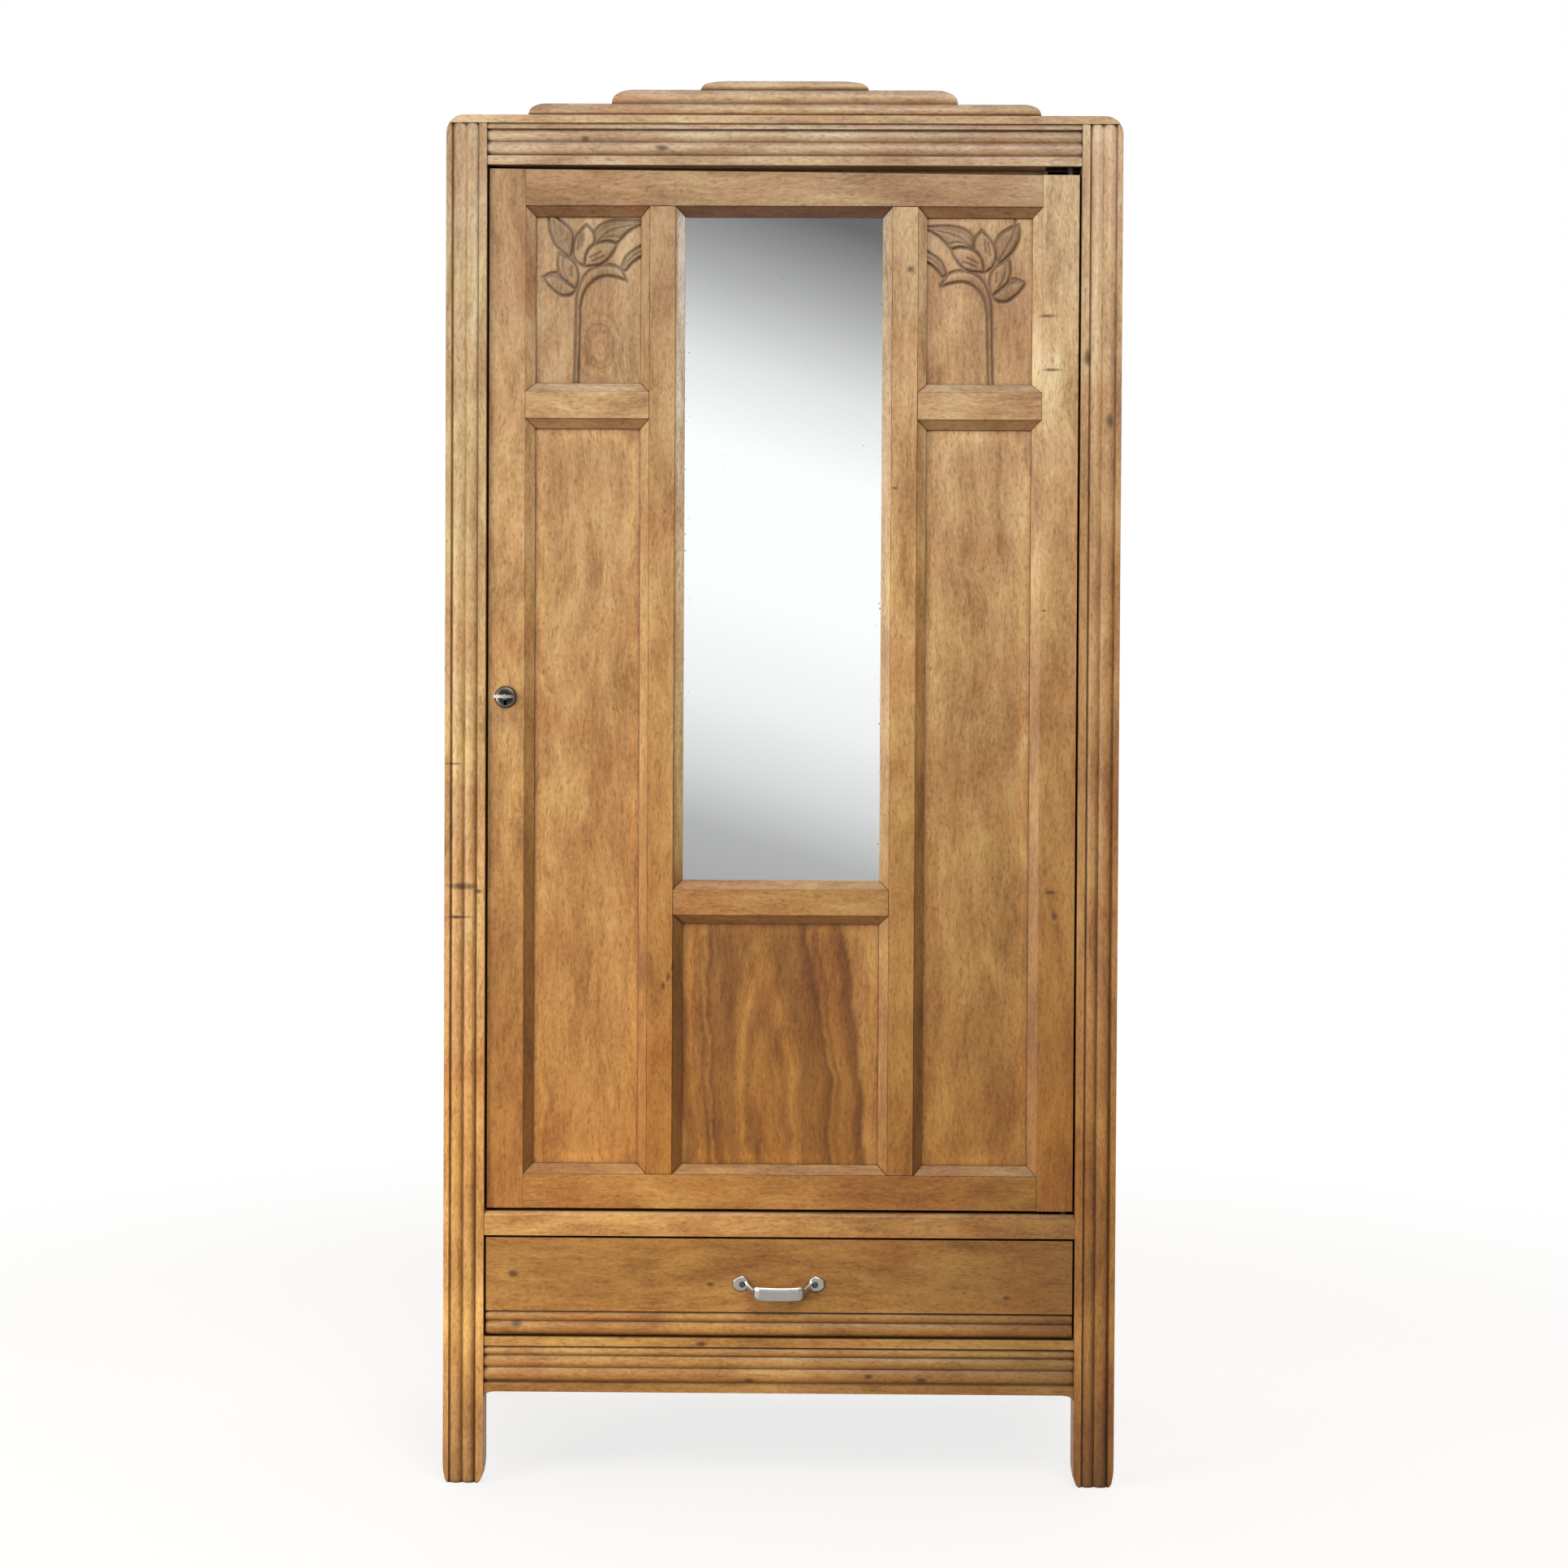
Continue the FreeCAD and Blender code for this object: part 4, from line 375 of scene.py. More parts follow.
def silvered_glass():
    """Mirror plate, silvered at the back: a clear reflection, faintly grey, with small age specks at the rim."""
    material, tree = blank("silvered_glass")
    place = (add(tree, "TexCoord"), "Object")
    specks = add(tree, "TexNoise", {"Vector": place, "Scale": per_mm(5), "Detail": 3.0})
    axes = add(tree, "SeparateXYZ", [place])
    side = add(tree, "Math", [(axes, "X")], operation="ABSOLUTE")
    rim = add(tree, "MapRange", [side, 0.125, 0.147, 0.0, 0.13])
    worn = add(tree, "Math", [specks, rim], operation="ADD")
    age = add(tree, "MapRange", [worn, 0.72, 0.8])
    silver = add(tree, "Mix", {0: age, 6: linear("#E9EBEA"), 7: linear("#8F8A80")}, **BLEND)
    rough = add(tree, "MapRange", [age, 0.0, 1.0, 0.015, 0.25])
    surface = add(tree, "BsdfPrincipled", {"Base Color": silver, "Metallic": 1.0, "Roughness": rough})
    add(tree, "OutputMaterial", [surface])
    return material


def give(piece, material):
    """The piece shows that material on every face."""
    if not piece.material_slots:
        piece.data.materials.append(material)
    for place in piece.material_slots:
        place.link = "OBJECT"
        place.material = material


def soften(piece, width, segments=2):
    """Rounds the sharp edges of a CAD node, which stay crisp underneath."""
    weld = piece.modifiers.new("weld", "WELD")
    weld.merge_threshold = 0.00002
    arris = piece.modifiers.new("arris", "BEVEL")
    arris.width = width
    arris.segments = segments
    arris.limit_method = "ANGLE"
    arris.angle_limit = math.radians(35)
    arris.harden_normals = True
    arris.use_clamp_overlap = True


UPRIGHT = """front_post_left front_post_right rear_post_left rear_post_right lock_stile hinge_stile
door_muntin_left door_muntin_right back_muntin""".split()
LYING = """frieze_rail cornice_board crest_board divider_rail apron_rail back_top_rail back_bottom_rail
door_top_rail door_bottom_rail door_mid_rail_left door_mid_rail_right mirror_rail drawer_front""".split()
SIDEWAYS = """side_top_rail_left side_top_rail_right side_mid_rail_left side_mid_rail_right
side_bottom_rail_left side_bottom_rail_right""".split()
PANELS = """side_upper_panel_left side_upper_panel_right side_lower_panel_left side_lower_panel_right
long_panel_left long_panel_right""".split()
# How light a board is beside the others, in red, green and blue: its own tone with painted light and shade
TONES = {
    "front_post_left": (0.87, 0.97, 0.94), "front_post_right": (0.85, 0.78, 0.71), "lock_stile": (1.14, 1.15, 1.13),
    "hinge_stile": (1.11, 1.14, 1.21), "door_muntin_left": (1.03, 1.01, 0.96), "door_muntin_right": (1.17, 1.12, 1.08),
    "long_panel_left": (0.98, 0.94, 0.9), "long_panel_right": (1.06, 1.07, 1.14), "frieze_rail": (0.96, 1.0, 1.12),
    "door_top_rail": (0.81, 0.78, 0.74), "mirror_rail": (0.89, 0.85, 0.82), "door_bottom_rail": (0.98, 0.97, 0.92),
    "divider_rail": (1.15, 1.24, 1.5), "drawer_front": (0.83, 0.82, 0.77), "apron_rail": (0.95, 1.0, 1.02),
    "carved_panel_left": (0.89, 0.9, 0.92), "carved_panel_right": (0.95, 0.91, 0.89),
}
# How much lighter or darker the foot and the head of an upright board are than its middle: its own tone with painted
# light and shade
ENDS = {
    "front_post_left": ((0.59, 0.56, 0.89), (0.1, 0.07, 0.17)),
    "front_post_right": ((0.48, 0.54, 0.69), (0.17, 0.29, 0.49)),
    "lock_stile": ((-0.26, -0.34, -0.43), (-0.3, -0.37, -0.4)),
    "hinge_stile": ((-0.14, -0.29, -0.49), (0.11, 0.22, 0.26)),
    "door_muntin_left": ((-0.25, -0.36, -0.56), (-0.24, -0.26, -0.27)),
    "door_muntin_right": ((-0.24, -0.24, -0.36), (-0.18, -0.13, -0.12)),
    "long_panel_right": ((-0.02, -0.03, -0.12), (0.0, 0.0, 0.0)),
}
# Painted light and shade with an aged tone, from the foot to the head of the wardrobe: darker and warmer low, greyer
# high
AGE_AND_PAINTED_LIGHT = [(0.0, (0.64, 0.49, 0.3)), (0.05, (0.79, 0.62, 0.38)), (0.08, (1.0, 0.79, 0.48)), (0.118, (1.26, 1.06, 0.64)),
       (0.15, (0.98, 0.79, 0.46)), (0.25, (1.0, 0.8, 0.44)), (0.55, (1.02, 1.0, 0.84)), (1.0, (0.95, 1.08, 1.3))]
# Width of the round corners of the pale band on a panel, and how deep its edge stands in the groove
RIM, GROOVE = 0.045, 0.008
# Wide rings of grain beside the stem of the left carved panel
KNOT = {"middle": (-0.254, 0.0, 1.618), "turn": 0.0, "squeeze": 0.68, "bend": (30, 2.0, 0.014), "ring": (6, 2.0),
        "tones": [(0.36, (0.7, 0.67, 0.64)), (0.6, (1.12, 1.1, 1.06))], "fade": (0.026, 0.04)}
# Dark bands of heartwood that run up the lower middle panel and close in an arch, with pale sapwood beside them
HEARTWOOD = {"middle": (0.02, 0.0, sum(corner.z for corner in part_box("centre_panel")) / 2 - 0.05), "turn": 0.08,
             "squeeze": 0.2, "bend": (150, 4.0, 0.07), "ring": (24, 2.5),
             "tones": [(0.34, (0.4, 0.3, 0.19)), (0.5, (0.61, 0.51, 0.36)), (0.66, (0.89, 0.79, 0.61))],
             "fade": (0.13, 0.142)}
# Knots and scratches
UPRIGHT_MARKS = [(0.178, 1.7185, 0.008, 0.0075), (0.4265, 1.594, 0.007, 0.018), (0.3868, 0.808, 0.006, 0.009),
                 (0.3705, 1.6535, 0.02, 0.004), (0.3775, 1.578, 0.02, 0.0036), (-0.4625, 1.0195, 0.017, 0.0022),
                 (-0.449, 0.8465, 0.03, 0.0075), (-0.427, 0.8395, 0.008, 0.005), (-0.454, 0.803, 0.026, 0.0028),
                 (-0.4604, 0.803, 0.008, 0.0042),
                 (0.158, 1.411, 0.006, 0.0035), (0.4585, 1.5055, 0.008, 0.016), (0.369, 1.2395, 0.005, 0.003),
                 (0.381, 0.842, 0.014, 0.005), (-0.1655, 0.7065, 0.005, 0.009), (-0.159, 0.7195, 0.0045, 0.01),
                 (-0.1525, 0.733, 0.0035, 0.009)]
LYING_MARKS = [(-0.28, 1.8985, 0.009, 0.006), (-0.1715, 1.886, 0.014, 0.006), (-0.376, 0.2975, 0.011, 0.008),
               (-0.0965, 0.2845, 0.009, 0.005), (-0.3715, 0.2265, 0.012, 0.009), (0.322, 0.268, 0.008, 0.005),
               (-0.109, 0.1995, 0.012, 0.005), (-0.041, 0.148, 0.01, 0.005), (0.1275, 0.1545, 0.009, 0.005),
               (0.2025, 0.1495, 0.011, 0.006)]


class WARDROBE_OT_oak(bpy.types.Operator):
    """Gives posts, rails, stiles and panels their oak, grain along each board, and softens their edges"""

    bl_idname = "wardrobe.oak"
    bl_label = "Oak Boards"

    def execute(self, context):
        oak = context.scene.wardrobe_oak
        upright = waxed_oak("oak_planed_and_waxed_upright", "Z", UPRIGHT_MARKS)
        lying = waxed_oak("oak_planed_and_waxed_lying", "X", LYING_MARKS)
        deep = waxed_oak("oak_planed_and_waxed_sideways", "Y")
        veneer = waxed_oak("oak_veneer_waxed", "Z", panel=True)
        dark = waxed_oak("oak_heartwood_veneer_waxed", "Z", panel=True, heart=True)
        sorts = ((UPRIGHT, upright, oak.arris), (LYING, lying, oak.arris), (SIDEWAYS, deep, oak.arris),
                 (PANELS, veneer, oak.panel_arris), (["centre_panel"], dark, oak.panel_arris))
        boards = [(name, material, width) for names, material, width in sorts for name in names]
        for number, (name, material, width) in enumerate(boards, 1):
            piece = NODES[name]
            # Each board is cut from its own place in the grain
            piece["board"] = number * 1.37
            piece["tone"] = TONES.get(name, WHITE)
            piece["foot"], piece["head"] = ENDS.get(name, (BLACK, BLACK))
            low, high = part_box(name)
            piece["middle"] = list((low + high) / 2)
            piece["inner"] = [max(0.0, side / 2 - GROOVE - RIM) for side in high - low]
            give(piece, material)
            soften(piece, width)
        return {"FINISHED"}


class WARDROBE_OT_inner_boards(bpy.types.Operator):
    """Gives shelf, floor, runners, drawer box and back their plain unfinished wood"""

    bl_idname = "wardrobe.inner_boards"
    bl_label = "Inner Boards"

    def execute(self, context):
        across = plain_softwood("poplar_planed_across", "X", "#CBA878", "#A9825A")
        deep = plain_softwood("poplar_planed_deep", "Y", "#C6A272", "#A27B50")
        upright = plain_softwood("beech_planed_upright", "Z", "#C9A57A", "#A88258")
        ply = plain_softwood("birch_plywood_sanded", "Z", "#C9A777", "#B08C5E")
        flat_ply = plain_softwood("birch_plywood_sanded_flat", "X", "#C9A777", "#B08C5E")
        finish = {
            "floor_board": across, "hat_shelf": across, "hanging_rail": across, "drawer_back": across,
            "shelf_bearers": deep, "drawer_runners": deep, "drawer_sides": deep,
            "door_stops": upright, "mirror_beads": upright,
            "back_panels": ply, "mirror_back_board": ply, "drawer_bottom": flat_ply,
        }
        for name, material in finish.items():
            give(NODES[name], material)
            soften(NODES[name], context.scene.wardrobe_oak.inner_arris)
        return {"FINISHED"}


class WARDROBE_OT_mirror(bpy.types.Operator):
    """Silvers the mirror plate"""

    bl_idname = "wardrobe.mirror"
    bl_label = "Mirror"

    def execute(self, context):
        give(NODES["mirror_glass"], silvered_glass())
        return {"FINISHED"}


class WARDROBE_OT_metalwork(bpy.types.Operator):
    """Plates the handle and gives lock, key and pivots their aged metal"""

    bl_idname = "wardrobe.metalwork"
    bl_label = "Metalwork"

    def execute(self, context):
        metal = context.scene.wardrobe_metal
        nickel = plated_metal("nickel_plated_satin", metal.nickel, 0.3, "#8F8B84", 0.2, rounded_with_painted_highlight=True)
        steel = plated_metal("steel_aged_dark", metal.steel, 0.38, "#37312B", 0.7)
        bright = plated_metal("steel_rubbed_bright", metal.bright, 0.58, "#7D786C", 0.4)
        rusted = plated_metal("steel_rusted_brown", metal.pivot, 0.6, "#2A1B12", 0.8)
        brass = plated_metal("brass_rolled_dull", metal.brass, 0.38, "#6E5428", 0.6)
        give(NODES["drawer_handle"], nickel)
        soften(NODES["drawer_handle"], metal.arris, 4)
        for name in ("lock_case", "strike_plate", "handle_screws"):
            give(NODES[name], steel)
        low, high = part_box("escutcheon")
        rim = plated_metal("steel_dome_painted_shadow", metal.rim, 0.36, "#4A4641", 0.6, dome=tuple((low + high) / 2))
        give(NODES["escutcheon"], rim)
        for name in ("door_key", "lock_bolt"):
            give(NODES[name], bright)
        for name in ("frame_pivot_plates", "door_pivot_plates"):
            give(NODES[name], rusted)
        give(NODES["rail_sockets"], brass)
        return {"FINISHED"}


def screw_head(shape, place, facing, turn, radius=0.0027):
    """Adds a countersunk head with its slot, a little proud of its plate."""
    out = Vector(facing).to_track_quat("Z", "Y") @ Euler((0.0, 0.0, turn)).to_quaternion()
    # The slot is 15% of the head wide, and the head stands 0.4 mm deep in its plate and as much over it
    start = math.asin(0.15)
    foot, brim, crown, slot_floor = -0.0004, 0.00008, 0.0004, 0.00002
    steps = 9

    def ring(low, high, side, share, lift):
        points = []
        for k in range(steps + 1):
            angle = low + (high - low) * k / steps
            flat = Vector((radius * share * math.cos(angle), side * radius * share * math.sin(angle), lift))
            points.append(shape.verts.new(Vector(place) + out @ flat))
        return points

    def prism(rings):
        shape.faces.new(rings[0])
        shape.faces.new(rings[-1])
        for below, over in zip(rings, rings[1:]):
            for k in range(len(below)):
                shape.faces.new((below[k - 1], below[k], over[k], over[k - 1]))

    for side in (-1, 1):
        halves = [ring(start, math.pi - start, side, share, lift)
                  for share, lift in ((1.0, foot), (1.0, brim), (0.82, crown))]
        prism(halves)
    turn_end = 2 * math.pi * steps / (steps + 1)
    prism([ring(0.0, turn_end, 1, 0.96, lift) for lift in (foot, slot_floor)])


class WARDROBE_OT_fixing_screws(bpy.types.Operator):
    """Puts the small slotted screws into strike plate, lock case, pivot plates and rail sockets"""

    bl_idname = "wardrobe.fixing_screws"
    bl_label = "Fixing Screws"

    def execute(self, context):
        steel = plated_metal("steel_screw_heads", linear("#8A837A"), 0.4, "#4A423A", 0.7)
        for name, body, places in self.groups():
            shape = bmesh.new()
            for number, (place, facing) in enumerate(places):
                screw_head(shape, place, facing, 0.6 + 2.1 * number)
            bmesh.ops.recalc_face_normals(shape, faces=shape.faces)
            mesh = bpy.data.meshes.new(name)
            shape.to_mesh(mesh)
            shape.free()
            piece = bpy.data.objects.new(name, mesh)
            context.scene.collection.objects.link(piece)
            give(piece, steel)
            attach(piece, body)
        return {"FINISHED"}

    def groups(self):
        """Name, body and screws of each plate; a screw is its place and the way it faces."""
        inset = 0.006
        low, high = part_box("strike_plate")
        strike = [((high.x, (low.y + high.y) / 2, z), (1, 0, 0)) for z in (low.z + inset, high.z - inset)]
        low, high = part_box("lock_case")
        lock = [((x, high.y, z), (0, 1, 0)) for x in (low.x + inset, high.x - inset)
                for z in (low.z + inset, high.z - inset)]
        pivots = []
        for name, plate, out in (("frame_pivot_plates", 0.0025, 1), ("door_pivot_plates", 0.0, -1)):
            low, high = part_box(name)
            middle = (low.y + high.y) / 2
            pivots.append([((low.x + x, middle, z), (0, 0, way))
                           for z, way in ((low.z + plate, out), (high.z - plate, -out)) for x in (0.007, 0.021)])
        low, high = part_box("rail_sockets")
        middle, centre, plate, reach = (low.y + high.y) / 2, (low.z + high.z) / 2, 0.003, 0.0198
        socket = []
        for x, facing in ((low.x + plate, (1, 0, 0)), (high.x - plate, (-1, 0, 0))):
            for turn in (40, 140, 270):
                angle = math.radians(turn)
                socket.append(((x, middle + reach * math.cos(angle), centre + reach * math.sin(angle)), facing))
        return [("strike_screws", "carcass", strike), ("lock_screws", "door", lock),
                ("frame_pivot_screws", "carcass", pivots[0]), ("door_pivot_screws", "door", pivots[1]),
                ("socket_screws", "carcass", socket)]


# The spray on the left panel in millimetres from the panel's centre: each form is a closed outline
LEAF_TIPPED = [(-55, 116), (-57, 98), (-49, 81), (-40, 70), (-28, 61), (-25, 62), (-21, 78), (-22, 92), (-27, 101),
               (-38, 109)]
LEAF_UPRIGHT = [(-56, 130), (-56, 98), (-49, 81), (-40, 70), (-28, 61), (-25, 62), (-21, 78), (-21, 92), (-26, 102),
                (-37, 111), (-47, 119), (-50, 130)]
BUD = [(-3, 107), (-15, 95), (-21, 85), (-23, 70), (-21, 60), (-15, 52), (-6, 48), (-4, 67), (8, 79), (9, 88),
       (6, 99)]
BUD_PETAL = [(-4, 67), (5, 78), (17, 83), (30, 84), (40, 80), (38, 73), (33, 65), (25, 55), (15, 49), (-6, 48)]
LEAF_LONG = [(8, 98), (17, 107), (30, 112), (49, 114), (84, 111), (74, 108), (58, 99), (48, 89), (40, 80), (30, 84),
             (17, 83), (8, 79), (9, 88)]
LEAF_ARCHED = [(-17, 0), (-16, 11), (-12, 23), (-7, 34), (1, 43), (12, 49), (24, 51), (37, 50), (47, 44), (55, 28),
               (43, 32), (28, 35), (15, 33), (5, 26), (-4, 16), (-9, 5), (-11, -9), (-17, -9)]
STEM = [(-17, 2), (-11, -4), (-12, -60), (-14, -130), (-20, -130), (-18, -60)]
LEAF_SIDE = [(46, 45), (51, 60), (61, 70), (84, 82), (84, 66), (74, 62), (60, 52), (52, 41)]
SECOND_BUD = [(-42, 67), (-28, 61), (-18, 52), (-14, 40), (-14, 28), (-18, 15), (-29, 25), (-38, 31), (-43, 43),
              (-44, 57)]
SECOND_PETAL = [(-64, 33), (-56, 38), (-43, 40), (-38, 31), (-29, 25), (-18, 15), (-21, 10), (-29, 6), (-40, 7),
                (-49, 14), (-58, 22)]
# Forms from the rear to the front, each with the darkness of wax and painted shade on its face; outlines in one group
# run into each other
FORMS = [(0.42, [LEAF_LONG]), (0.12, [BUD]), (0.16, [BUD_PETAL]), (0.26, [SECOND_PETAL]),
         (0.14, [SECOND_BUD]), (0.36, [LEAF_SIDE]), (0.14, [STEM, LEAF_ARCHED])]
# On the right the spray is turned over and 7 mm lower, so that its upright leaf shows its tip
SPRAYS = {"carved_panel_left": (1, 0.0, LEAF_UPRIGHT), "carved_panel_right": (-1, 7.0, LEAF_TIPPED)}
# In millimetres: plain edges at top and bottom and at the sides, and how far in a leaf has swollen
END_MARGIN, SIDE_MARGIN, SWELL_RUN = 8, 5, 3.0
# Old wax and painted shade darken a band 1.5 times as wide as its cut: on a form, on the ground and along a rib
WAX_AND_SHADE_SPREAD, FORM_WAX_AND_SHADE, GROUND_WAX_AND_SHADE, RIB_WAX_AND_SHADE = 1.5, 0.62, 0.55, 0.58
RIBS = [
    [(-51, 126), (-47, 99), (-38, 83), (-27, 64)],
    [(10, 90), (18, 100), (32, 107), (54, 110), (78, 110)],
    [(15, 84), (23, 93), (36, 100), (56, 105), (74, 109)],
    [(10, 82), (22, 89), (36, 90), (45, 87)],
    [(48, 44), (58, 58), (70, 67), (84, 73)],
    [(-37, 61), (-37, 48), (-33, 36), (-27, 27)],
    [(-60, 33), (-50, 35), (-42, 31), (-34, 24)],
    [(-12, 88), (-15, 72)],
    [(-7, 93), (-9, 76)],
    [(2, 60), (18, 68)],
    [(5, 55), (22, 62)],
    [(-24, 46), (-24, 34)],
]


def smooth_line(points, rounds=3):
    """Rounds a drawn line by cutting its corners again and again, and keeps its ends."""
    line = np.array(points, float)
    for _ in range(rounds):
        near = 0.75 * line[:-1] + 0.25 * line[1:]
        far = 0.25 * line[:-1] + 0.75 * line[1:]
        cut = np.stack([near, far], axis=1).reshape(-1, 2)
        line = np.vstack([line[:1], cut, line[-1:]])
    return line


def pointed_line(points, rounds=2, tip=62):
    """A closed outline that keeps its tips: where it turns by more than that many degrees, the corner stays."""
    line = [np.array(p, float) for p in points]
    for _ in range(rounds):
        new = []
        for i, here in enumerate(line):
            before = line[i - 1]
            after = line[(i + 1) % len(line)]
            a, b = here - before, after - here
            turn = math.degrees(math.acos(max(-1.0, min(1.0, a.dot(b) / (np.hypot(*a) * np.hypot(*b))))))
            new += [here] if turn > tip else [here - 0.25 * a, here + 0.25 * b]
        line = new
    return np.array(line)


def distance_to(line, xs, zs, closed):
    """Distance of each point of the grid from the line."""
    ends = np.vstack([line, line[:1]]) if closed else line
    best = np.full(xs.shape, 1e9)
    for a, b in zip(ends[:-1], ends[1:]):
        run = b - a
        share = ((xs - a[0]) * run[0] + (zs - a[1]) * run[1]) / max(run.dot(run), 1e-9)
        share = np.clip(share, 0.0, 1.0)
        best = np.minimum(best, np.hypot(xs - a[0] - share * run[0], zs - a[1] - share * run[1]))
    return best


def fading(near, width):
    """One on a line, falling off within that width."""
    return np.exp(-(near / width) ** 2)


def inside(line, xs, zs):
    """True where a point of the grid lies within the closed line."""
    within = np.zeros(xs.shape, bool)
    for a, b in zip(line, np.roll(line, -1, axis=0)):
        spans = (a[1] > zs) != (b[1] > zs)
        cross = a[0] + (zs - a[1]) * (b[0] - a[0]) / ((b[1] - a[1]) or 1e-9)
        within ^= spans & (xs < cross)
    return within


class WARDROBE_OT_carved_panels(bpy.types.Operator):
    """Carves the spray of buds and leaves into both upper panels, turned over and lower on the right"""

    bl_idname = "wardrobe.carved_panels"
    bl_label = "Carved Panels"

    def execute(self, context):
        carving = context.scene.wardrobe_carving
        finish = waxed_oak("oak_solid_carved_and_waxed", "Z", cut=True)
        for number, (node, (hand, drop, leaf)) in enumerate(SPRAYS.items()):
            low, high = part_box(node)
            width, tall = (high.x - low.x) * 1000, (high.z - low.z) * 1000
            step = carving.step * 1000
            columns, rows = int(width / step), int(tall / step)
            x = np.linspace(-width / 2, width / 2, columns + 1)
            z = np.linspace(-tall / 2, tall / 2, rows + 1)
            xs, zs = np.meshgrid(x, z)
            rise, wax_and_shade = self.relief(xs * hand, zs + drop, [(0.34, [leaf]), *FORMS], carving)
            rise[(np.abs(zs) > tall / 2 - END_MARGIN) | (np.abs(xs) > width / 2 - SIDE_MARGIN)] = 0.0
            centre = ((low.x + high.x) / 2, (low.z + high.z) / 2)
            panel = self.board(node, xs, zs, rise, wax_and_shade, centre, low.y, high.y)
            panel["board"] = 31.0 + 2.3 * number
            panel["tone"] = TONES[node]
            give(panel, finish)
            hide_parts(node)
            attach(panel, "door")
        return {"FINISHED"}

    def relief(self, xs, zs, forms, carving):
        """Rise over the ground in millimetres, and how dark each point is from old wax and painted shade."""
        rise = np.zeros(xs.shape)
        cut = np.zeros(xs.shape)
        dark = np.zeros(xs.shape)
        swell, width = carving.relief * 1000, carving.cut_width * 1000
        for shade, group in forms:
            depth = np.full(xs.shape, -1e9)
            for form in group:
                line = pointed_line(form)
                near = distance_to(line, xs, zs, True)
                depth = np.maximum(depth, np.where(inside(line, xs, zs), near, -near))
            near, within = np.abs(depth), depth > 0
            rise = np.where(within, swell * (1.0 - np.exp(-near / SWELL_RUN)), rise)
            groove, rim = fading(near, width), fading(near, width * WAX_AND_SHADE_SPREAD)
            cut = np.where(within, groove, np.maximum(cut, groove))
            dark = np.where(within, shade + (FORM_WAX_AND_SHADE - shade) * rim, np.maximum(dark, GROUND_WAX_AND_SHADE * rim))
        for rib in RIBS:
            near = distance_to(smooth_line(rib), xs, zs, False)
            cut = np.maximum(cut, 0.7 * fading(near, width))
            dark = np.maximum(dark, RIB_WAX_AND_SHADE * fading(near, width * WAX_AND_SHADE_SPREAD))
        return rise - cut * carving.cut_depth * 1000, dark

    def board(self, node, xs, zs, rise, wax_and_shade, centre, front, back):
        """A closed board whose front carries the relief."""
        rows, columns = xs.shape
        count = rows * columns
        face = np.stack([xs / 1000 + centre[0], front - rise / 1000, zs / 1000 + centre[1]], axis=-1)
        rear = face.copy()
        rear[..., 1] = back
        rim = [(0, j) for j in range(columns)] + [(i, columns - 1) for i in range(1, rows)]
        rim += [(rows - 1, j) for j in range(columns - 2, -1, -1)] + [(i, 0) for i in range(rows - 2, 0, -1)]
        corners = face.reshape(-1, 3).tolist() + [rear[i, j].tolist() for i, j in rim]
        number = np.arange(count).reshape(rows, columns)
        quads = np.stack([number[:-1, :-1], number[:-1, 1:], number[1:, 1:], number[1:, :-1]], axis=-1)
        faces = quads.reshape(-1, 4).tolist()
        edge = [int(number[i, j]) for i, j in rim]
        for k in range(len(rim)):
            after = (k + 1) % len(rim)
            faces.append([edge[after], edge[k], count + k, count + after])
        faces.append([count + k for k in range(len(rim) - 1, -1, -1)])
        mesh = bpy.data.meshes.new(node + "_relief")
        mesh.from_pydata(corners, [], faces)
        wax = mesh.attributes.new("wax_and_shade", "FLOAT", "POINT")
        wax.data.foreach_set("value", wax_and_shade.reshape(-1).tolist() + [0.0] * len(rim))
        smooth = [True] * (len(faces) - len(rim) - 1) + [False] * (len(rim) + 1)
        mesh.polygons.foreach_set("use_smooth", smooth)
        panel = bpy.data.objects.new(node + "_relief", mesh)
        bpy.context.scene.collection.objects.link(panel)
        return panel


# Each lamp: where it hangs, where it points and how wide it is, in metres
LAMPS = {"overhead_lamp": ((0.8, -3.4, 4.2), (0.0, -0.2, 1.2), 2.2),
         "window_lamp": ((-2.9, -2.3, 1.0), (0.1, -0.2, 0.9), 1.8)}
# The camera that the photograph gives: place in metres, turn in degrees, lens and sensor in millimetres
CAMERA_PLACE, CAMERA_TURN = (0.03192, -3.432, 1.04513), (89.0727, -0.2986, 0.506)
CAMERA_LENS, CAMERA_SENSOR = 52.154, 36.0
# Half the width of the floor, and how far its top lies under the feet, in metres
FLOOR_REACH, FLOOR_GAP = 14.0, 0.0005


